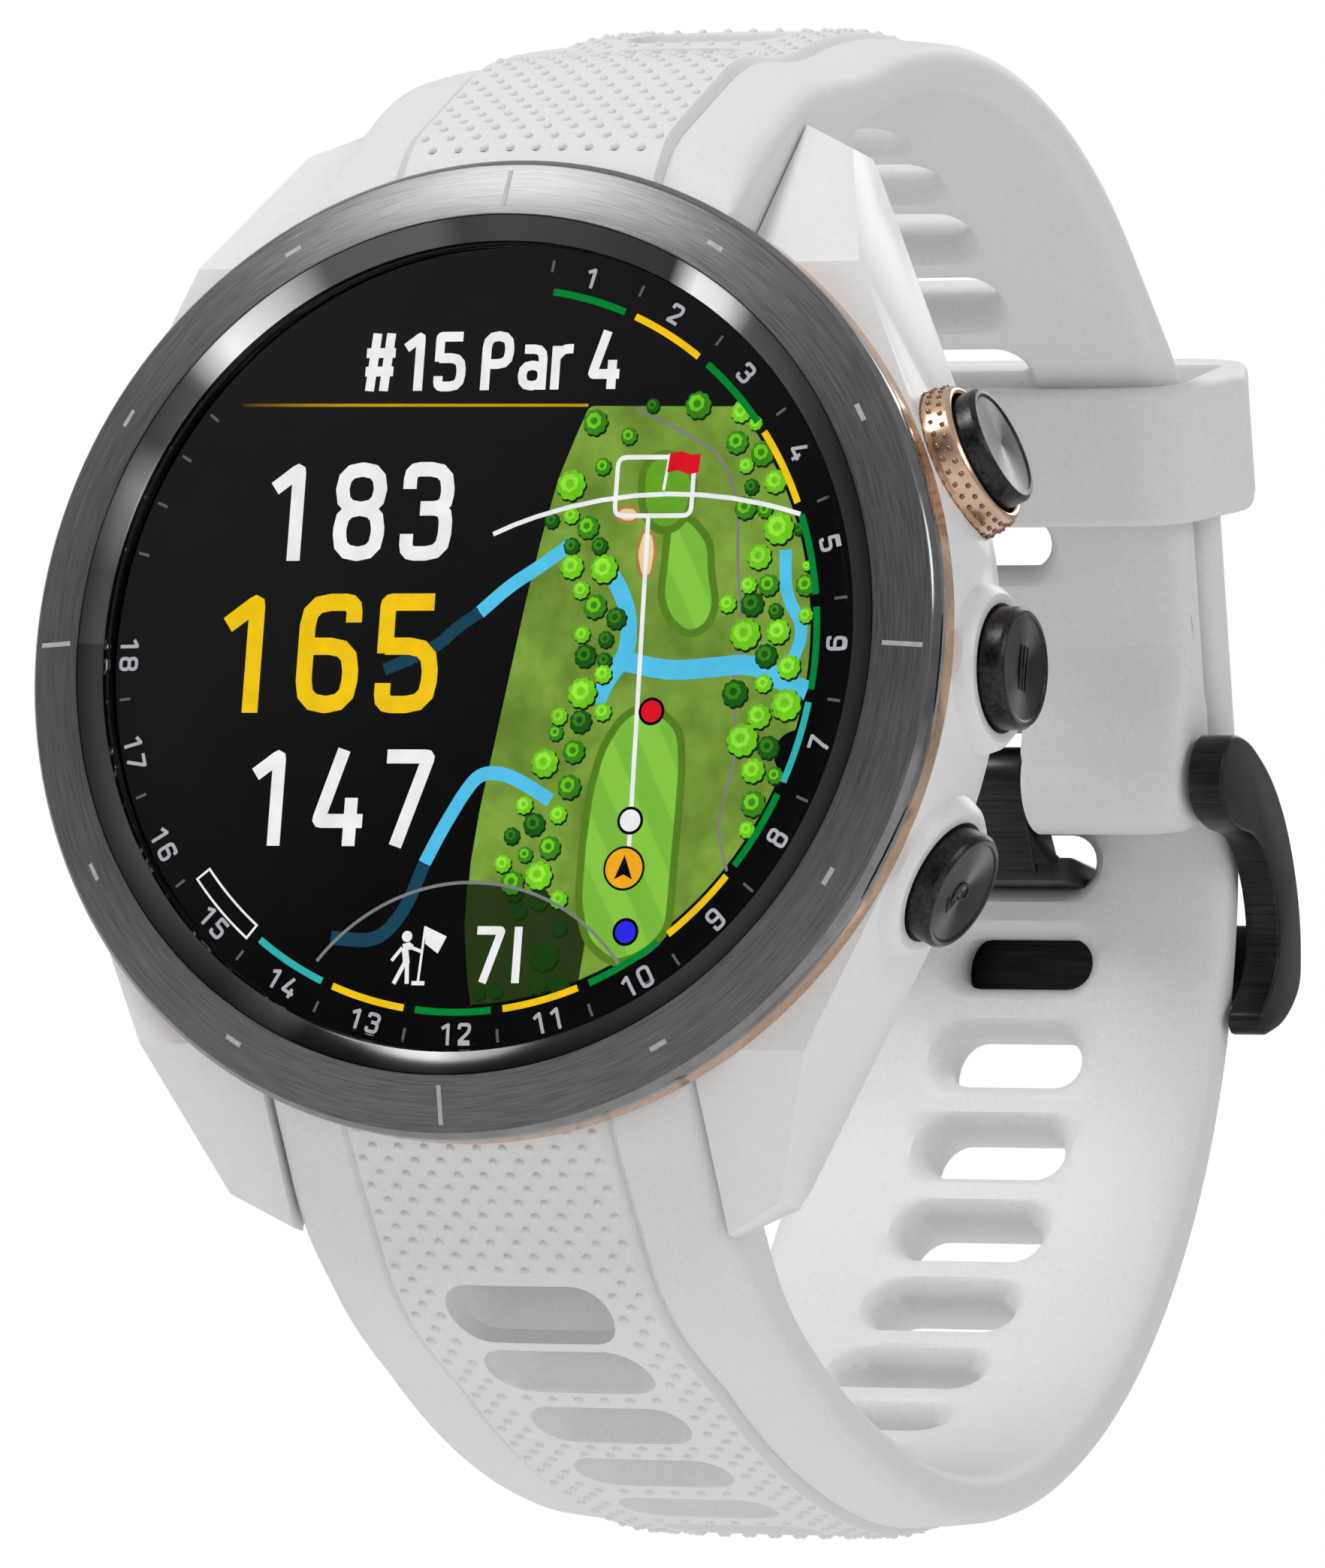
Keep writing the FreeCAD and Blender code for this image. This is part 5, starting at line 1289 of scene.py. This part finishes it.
def prism(name, corners, width, start=0.0, ease=0.0):
    # a closed outline of (depth, height) corners, drawn out along X from start
    outline = rounded(corners, ease, closed=True, steps=4) if ease else [
        Vector(corner) for corner in corners]
    piece = newPiece(name, [(start * mm, point.x * mm, point.y * mm) for point in outline], [],
                     [list(range(len(outline)))])
    useOnly(piece)
    editMesh(selectAll,
             lambda: bpy.ops.mesh.extrude_region_move(
                 TRANSFORM_OT_translate={"value": (width * mm, 0, 0)}))
    outwardNormals(piece)
    return piece


def soften(piece, width, segments=3, degrees=35, harden=False):
    addModifier(piece, "BEVEL", width=width * mm, segments=segments, limit_method="ANGLE",
                angle_limit=math.radians(degrees), harden_normals=harden)
    applyModifiers(piece)


def place(piece, matrix):
    piece.data.transform(matrix)
    return piece


def joined(name, *pieces):
    useOnly(*pieces)
    bpy.ops.object.join()
    return named(name)


def buttonAxis(angle):
    return Vector((math.cos(math.radians(angle)), 0, math.sin(math.radians(angle))))


def onButton(angle):
    # the button's own axes: x towards the back, y outwards, z downwards along the rim
    outward = buttonAxis(angle)
    inward = Vector((0, 1, 0))
    side = inward.cross(outward)
    matrix = Matrix((inward, outward, side)).transposed().to_4x4()
    return Matrix.Translation((0, (buttonPlan["depth"] - faceDepth) * mm, 0)) @ matrix


def spunOnY(name, corners, ease=0.04, steps=72):
    # like spun, about the model's own origin
    piece = spun(name, corners, ease, steps)
    return place(piece, Matrix.Translation((0, faceDepth * mm, 0)))


def makeCapFinish():
    # turned metal with a painted reflection: two opposite bright fans are painted into the base
    # colour round the cap, standing in for the highlight of its turned face
    finish, tree, shader = newFinish("turnedCapPaintedReflection")
    flat = tree.nodes.new("ShaderNodeUVMap")
    flat.uv_map = "capPlace"
    place = splitPlace(tree, flat.outputs["UV"])
    turn = sums(tree, "ARCTAN2", place["X"], place["Y"])
    wave = sums(tree, "COSINE", sums(tree, "MULTIPLY_ADD", turn, 2.0, 0.5))
    paintedFan = sums(tree, "POWER", remapped(tree, wave, From_Min=-0.3), 2.6)
    grain = grainOf(tree, flat.outputs["UV"], Scale=3.0, Detail=5.0)
    feed(tree, shader, Base_Color=twoTones(tree, paintedFan, (0.028, 0.028, 0.029), (0.19, 0.19, 0.194)),
         Roughness=remapped(tree, grain, To_Min=0.28, To_Max=0.44), Metallic=0.85)
    finishes["turnedCapPaintedReflection"] = finish


def makeCaps():
    plan = buttonPlan
    for node, (angle, face) in plan["buttons"].items():
        cap = spunOnY(node.split("_")[0] + "Cap", (
            (0, face - 0.14), (2.18, face - 0.08), (2.27, face), (2.44, face),
            (plan["radius"], face - 0.2), (plan["radius"], plan["bottom"]),
            (plan["stem"], plan["bottom"]), (plan["stem"], plan["groove"][1]),
            (plan["neck"], plan["groove"][1]), (plan["neck"], plan["groove"][0]),
            (plan["stem"], plan["groove"][0]), (plan["stem"], plan["stemEnd"]),
            (0, plan["stemEnd"])), ease=0.03)
        smooth(cap, 30)
        layer = cap.data.uv_layers.new(name="capPlace")
        for loop in cap.data.loops:
            spot = cap.data.vertices[loop.vertex_index].co
            layer.data[loop.index].uv = (spot.x / mm, spot.z / mm)
        place(cap, onButton(angle))
        dress(cap, finishes["capSide"], node)
        cap.data.materials.append(finishes["turnedCapPaintedReflection"])
        outward = buttonAxis(angle)
        # the cap's front face gets the painted reflection fans
        for polygon in cap.data.polygons:
            if polygon.normal.dot(outward) > 0.9 and polygon.center.dot(outward) > (
                    face - 0.16) * mm and polygon.area > 0:
                polygon.material_index = 1
        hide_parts(node)


def flatMark(name, lines, width, node, lift, rise=0.03):
    # engraved-looking strokes on a cap; lines are in the cap's own (depth, down) axes
    angle, face = buttonPlan["buttons"][node]
    points, faces = [], []
    for line in lines:
        for quad in ribbon(line, width):
            faces.append(list(range(len(points), len(points) + 4)))
            points.extend((point.x * mm, (face + lift) * mm, point.y * mm) for point in quad)
    mark = newPiece(name, points, [], faces)
    turnFaces(mark, 1)
    addModifier(mark, "SOLIDIFY", thickness=rise * mm, offset=-1.0)
    applyModifiers(mark)
    place(mark, onButton(angle))
    dress(mark, finishes["engraving"], node)


guardPlan = {
    "outline": ((2.75, 20.2), (2.75, 22.22), (2.86, 22.3), (2.96, 22.3), (3.12, 22.14),
                (3.28, 21.3), (3.30, 20.2)),
    # radius and height of each row of small bumps round the ring
    "bumpRows": ((3.29, 20.5), (3.29, 20.95), (3.26, 21.4), (3.17, 21.85)),
    "bumps": 34, "bumpRadius": 0.135,
}


def makeGuard():
    angle, _ = buttonPlan["buttons"]["action_button"]
    ring = spunOnY("guardRing", guardPlan["outline"], ease=0.05)
    bpy.ops.object.select_all(action="DESELECT")
    bumps = []
    for row, (radius, height) in enumerate(guardPlan["bumpRows"]):
        for step in range(guardPlan["bumps"]):
            turn = math.tau * (step + 0.5 * (row % 2)) / guardPlan["bumps"]
            bumps.append((radius * math.cos(turn), height, radius * math.sin(turn)))
    bpy.ops.mesh.primitive_ico_sphere_add(subdivisions=1, radius=guardPlan["bumpRadius"] * mm)
    bump = named("guardBump")
    seed = bmesh.new()
    seed.from_mesh(bump.data)
    gathered = bmesh.new()
    for spot in bumps:
        made = {}
        for vertex in seed.verts:
            made[vertex] = gathered.verts.new(vertex.co + Vector(spot) * mm)
        for face in seed.faces:
            gathered.faces.new([made[vertex] for vertex in face.verts])
    gathered.to_mesh(bump.data)
    gathered.free()
    seed.free()
    place(ring, onButton(angle))
    place(bump, onButton(angle))
    for piece in (ring, bump):
        smooth(piece, 50)
    dress(ring, finishes["roseGold"], "watch")
    # the bumps carry the painted shade of the dimples
    dress(bump, finishes["roseGoldPaintedShade"], "watch")
    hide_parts("action_button_guard")


pinPlace = (45.389, 3.875)
alongStrap = Vector((0, 0.3420, -0.9397))
outFromStrap = Vector((0, 0.9397, 0.3420))
armOutline = (
    (-1.2, 2.0), (1.0, 2.1), (4.0, 1.0), (6.2, -0.7), (7.9, -3.0), (9.0, -5.4), (9.4, -7.9),
    (8.6, -9.1), (7.4, -10.1), (5.2, -11.0), (4.6, -10.2), (6.2, -8.2), (6.4, -6.0),
    (5.2, -3.6), (2.8, -2.0), (0.6, -2.2), (-1.6, -1.6), (-2.2, 0.4),
)
crossbarOutline = ((7.65, -5.4), (9.0, -5.4), (9.4, -7.9), (8.6, -9.1), (7.8, -9.3))
tongueRoot = ((-1.2, -0.9), (1.0, -4.4), (3.6, -4.4), (3.6, -3.1), (1.3, -0.7))
tongueBlade = ((0.9, -3.5), (1.2, -4.45), (7.9, -4.05), (8.2, -3.15), (3.0, -3.1))


def makeBuckle():
    atPin = Matrix.Translation((0, pinPlace[0] * mm, pinPlace[1] * mm))
    pieces = []
    for name, outline, width, start, ease, edge in (
            ("nearArm", armOutline, 1.7, 10.3, 1.4, 0.55),
            ("farArm", armOutline, 1.7, -12.0, 1.4, 0.55),
            ("crossbar", crossbarOutline, 21.2, -10.6, 0.5, 0.25)):
        piece = prism(name, outline, width, start, ease)
        soften(piece, edge, 4, 50)
        pieces.append(piece)
    frame = joined("buckleFrameSkin", *pieces)
    place(frame, atPin)
    smooth(frame, 40)
    dress(frame, finishes["blackMetal"], "buckle_frame")
    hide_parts("buckle_frame")
    root = prism("root", tongueRoot, 3.9, -1.95, 0.5)
    soften(root, 0.2, 3, 50)
    blade = prism("blade", tongueBlade, 5.9, -2.95, 0.3)
    soften(blade, 0.25, 3, 50)
    flare = prism("flare", ((-1.95, 0), (1.95, 0), (2.1, 0.9), (2.6, 1.6), (2.95, 1.9),
                            (-2.95, 1.9), (-2.6, 1.6), (-2.1, 0.9)), 0.9, 0, 0)
    # the flare lies in the plane of the root's slope, from root width to blade width
    slope = Vector((0, 2.2, -3.5)).normalized()
    normal = Vector((0, 3.5, 2.2)).normalized()
    turn = Matrix((normal, Vector((1, 0, 0)), slope)).transposed().to_4x4()
    place(flare, Matrix.Translation(Vector((0, -0.2, -2.2)) * mm) @ turn)
    outwardNormals(flare)
    soften(flare, 0.15, 2, 40)
    bpy.ops.object.select_all(action="DESELECT")
    bpy.ops.mesh.primitive_cylinder_add(vertices=48, radius=1.5 * mm, depth=3.9 * mm,
                                        rotation=(0, math.pi / 2, 0))
    hub = named("hub")
    settle(hub)
    soften(hub, 0.2, 3, 50)
    tongue = joined("buckleTongueSkin", root, blade, flare, hub)
    place(tongue, atPin)
    smooth(tongue, 40)
    dress(tongue, finishes["blackMetal"], "buckle_tongue")
    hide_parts("buckle_tongue")


def makeKnuckles():
    # the end of the short half swells inwards and rolls round the pin
    bar = [(-7.6, 0.6), (-7.6, -0.10), (-5.8, -0.22), (-4.4, -0.85), (-2.9, -1.75),
           (-1.7, -2.25)]
    bar += [(2.5 * math.sin(math.radians(turn)), -2.5 * math.cos(math.radians(turn)))
            for turn in range(-30, 181, 8)]
    bar += [(-1.5, 2.3), (-3.0, 1.8)]
    outline = [(along * alongStrap.y + out * outFromStrap.y,
                along * alongStrap.z + out * outFromStrap.z) for along, out in bar]
    knuckle = prism("upperStrapKnuckle", outline, 19.96, -9.98, 0)
    columns = [side * across for across in strapPlan["columns"][9:-1] for side in (1, -1)]
    editMesh(*(cutAcross(across) for across in columns))
    for vertex in knuckle.data.vertices:
        wide = abs(vertex.co.x) / mm
        along, out = (vertex.co.dot(axis) / mm for axis in (alongStrap, outFromStrap))
        if along > -1.8:
            inward = -(alongStrap * along + outFromStrap * out).normalized()
        elif out < 0:
            inward = outFromStrap
        else:
            continue
        vertex.co += inward * innerLift(wide) * mm
    place(knuckle, Matrix.Translation((0, pinPlace[0] * mm, pinPlace[1] * mm)))
    cutKnuckleGap(knuckle)
    soften(knuckle, 0.35, 3, 65)
    smooth(knuckle, 50)
    dress(knuckle, finishes["whiteSilicone"], "watch")


def cutAcross(across):
    def cut():
        bpy.ops.mesh.select_all(action="SELECT")
        bpy.ops.mesh.bisect(plane_co=(across * mm, 0, 0), plane_no=(1, 0, 0))
    return cut


def makeKeeper():
    # drawn in the strap's own axes: out from the wrist, across and along
    outer = ((41.95, 9.0), (42.85, 10.95), (46.9, 12.45), (50.9, 11.0), (51.9, 9.0))
    outer += tuple((out, -across) for out, across in reversed(outer))
    inner = ((43.45, 10.25), (50.55, 10.25), (50.55, -10.25), (43.45, -10.25))
    solid = prism("keeperSkin", outer, 6.3, -6.4, 0.7)
    soften(solid, 0.45, 4, 50)
    bore = prism("keeperBore", inner, 10, -8, 1.1)
    cutWith(solid, bore)
    soften(solid, 0.28, 3, 50)
    turn = Matrix((alongStrap, outFromStrap, Vector((1, 0, 0)))).transposed().to_4x4()
    place(solid, turn)
    outwardNormals(solid)
    smooth(solid, 28)
    dress(solid, finishes["whiteSilicone"], "keeper")
    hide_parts("strap_keeper")


def copyOf(node, name):
    piece = nodes[node].copy()
    piece.data = nodes[node].data.copy()
    piece.name = name
    bpy.context.scene.collection.objects.link(piece)
    return piece


def makeCaseSkin():
    # a copy of the case with its points merged and its sharp edges eased
    skin = copyOf("case_body", "caseSkin")
    outwardNormals(skin, 0.000002)
    soften(skin, 0.16, 2, 32)
    smooth(skin, 30)
    dress(skin, finishes["whiteCase"], "watch")
    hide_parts("case_body")


springPlan = {"release": 1.4}


def makeSprings():
    # copies of the button and quick-release springs, with their points merged and smooth shading,
    # in spring steel
    plans = [(node + "_spring", joint, buttonAxis(angle), buttonPlan["travel"])
             for (node, (angle, _)), joint in zip(
                 buttonPlan["buttons"].items(), ("action_press", "menu_press", "back_press"))]
    plans += [(side + "_bar_spring", side + "_quick_release_slide", Vector((1, 0, 0)),
               springPlan["release"]) for side in ("upper", "lower")]
    for name, joint, axis, travel in plans:
        coil = copyOf(name, name.replace("_s", "S").replace("_b", "B") + "Coil")
        outwardNormals(coil, 0.0000005)
        smooth(coil, 40)
        dress(coil, finishes["springSteel"], "watch")
        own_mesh(coil)
        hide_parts(name)


# painted shade: a darker rose gold on the small bumps stands in for the shade in the ring's
# dimples
finishes["roseGoldPaintedShade"] = noisyFinish(
    "roseGoldPaintedShade", ((0.22, 0.14, 0.09), (0.34, 0.22, 0.15)), (0.22, 0.34), even,
    scale=5000.0, metallic=1.0)
finishes["capSide"] = noisyFinish(
    "capSide", ((0.012, 0.012, 0.013), (0.05, 0.05, 0.052)), (0.24, 0.40), even,
    scale=5000.0, metallic=0.85)
finishes["engraving"] = noisyFinish(
    "engraving", ((0.006, 0.006, 0.006), (0.014, 0.014, 0.014)), (0.35, 0.5), even,
    scale=4000.0, metallic=0.4)
makeCapFinish()
makeCaps()
flatMark("menuLines", [[(across, -0.95), (across, 0.95)] for across in (-0.34, 0.0, 0.34)],
         0.13, "menu_button", -0.08)
flatMark("returnMark", [rounded(((-0.55, 0.85), (-0.55, -0.35), (0.5, -0.35), (0.5, 0.30),
                                 (-0.1, 0.30)), 0.5, steps=6),
                        [(-0.90, 0.45), (-0.55, 0.95), (-0.20, 0.45)]],
         0.13, "back_button", -0.08)
makeGuard()
makeSprings()
print("buttons done")
makeBuckle()
makeKnuckles()
makeKeeper()
makeCaseSkin()
print("buckle, keeper and case done")
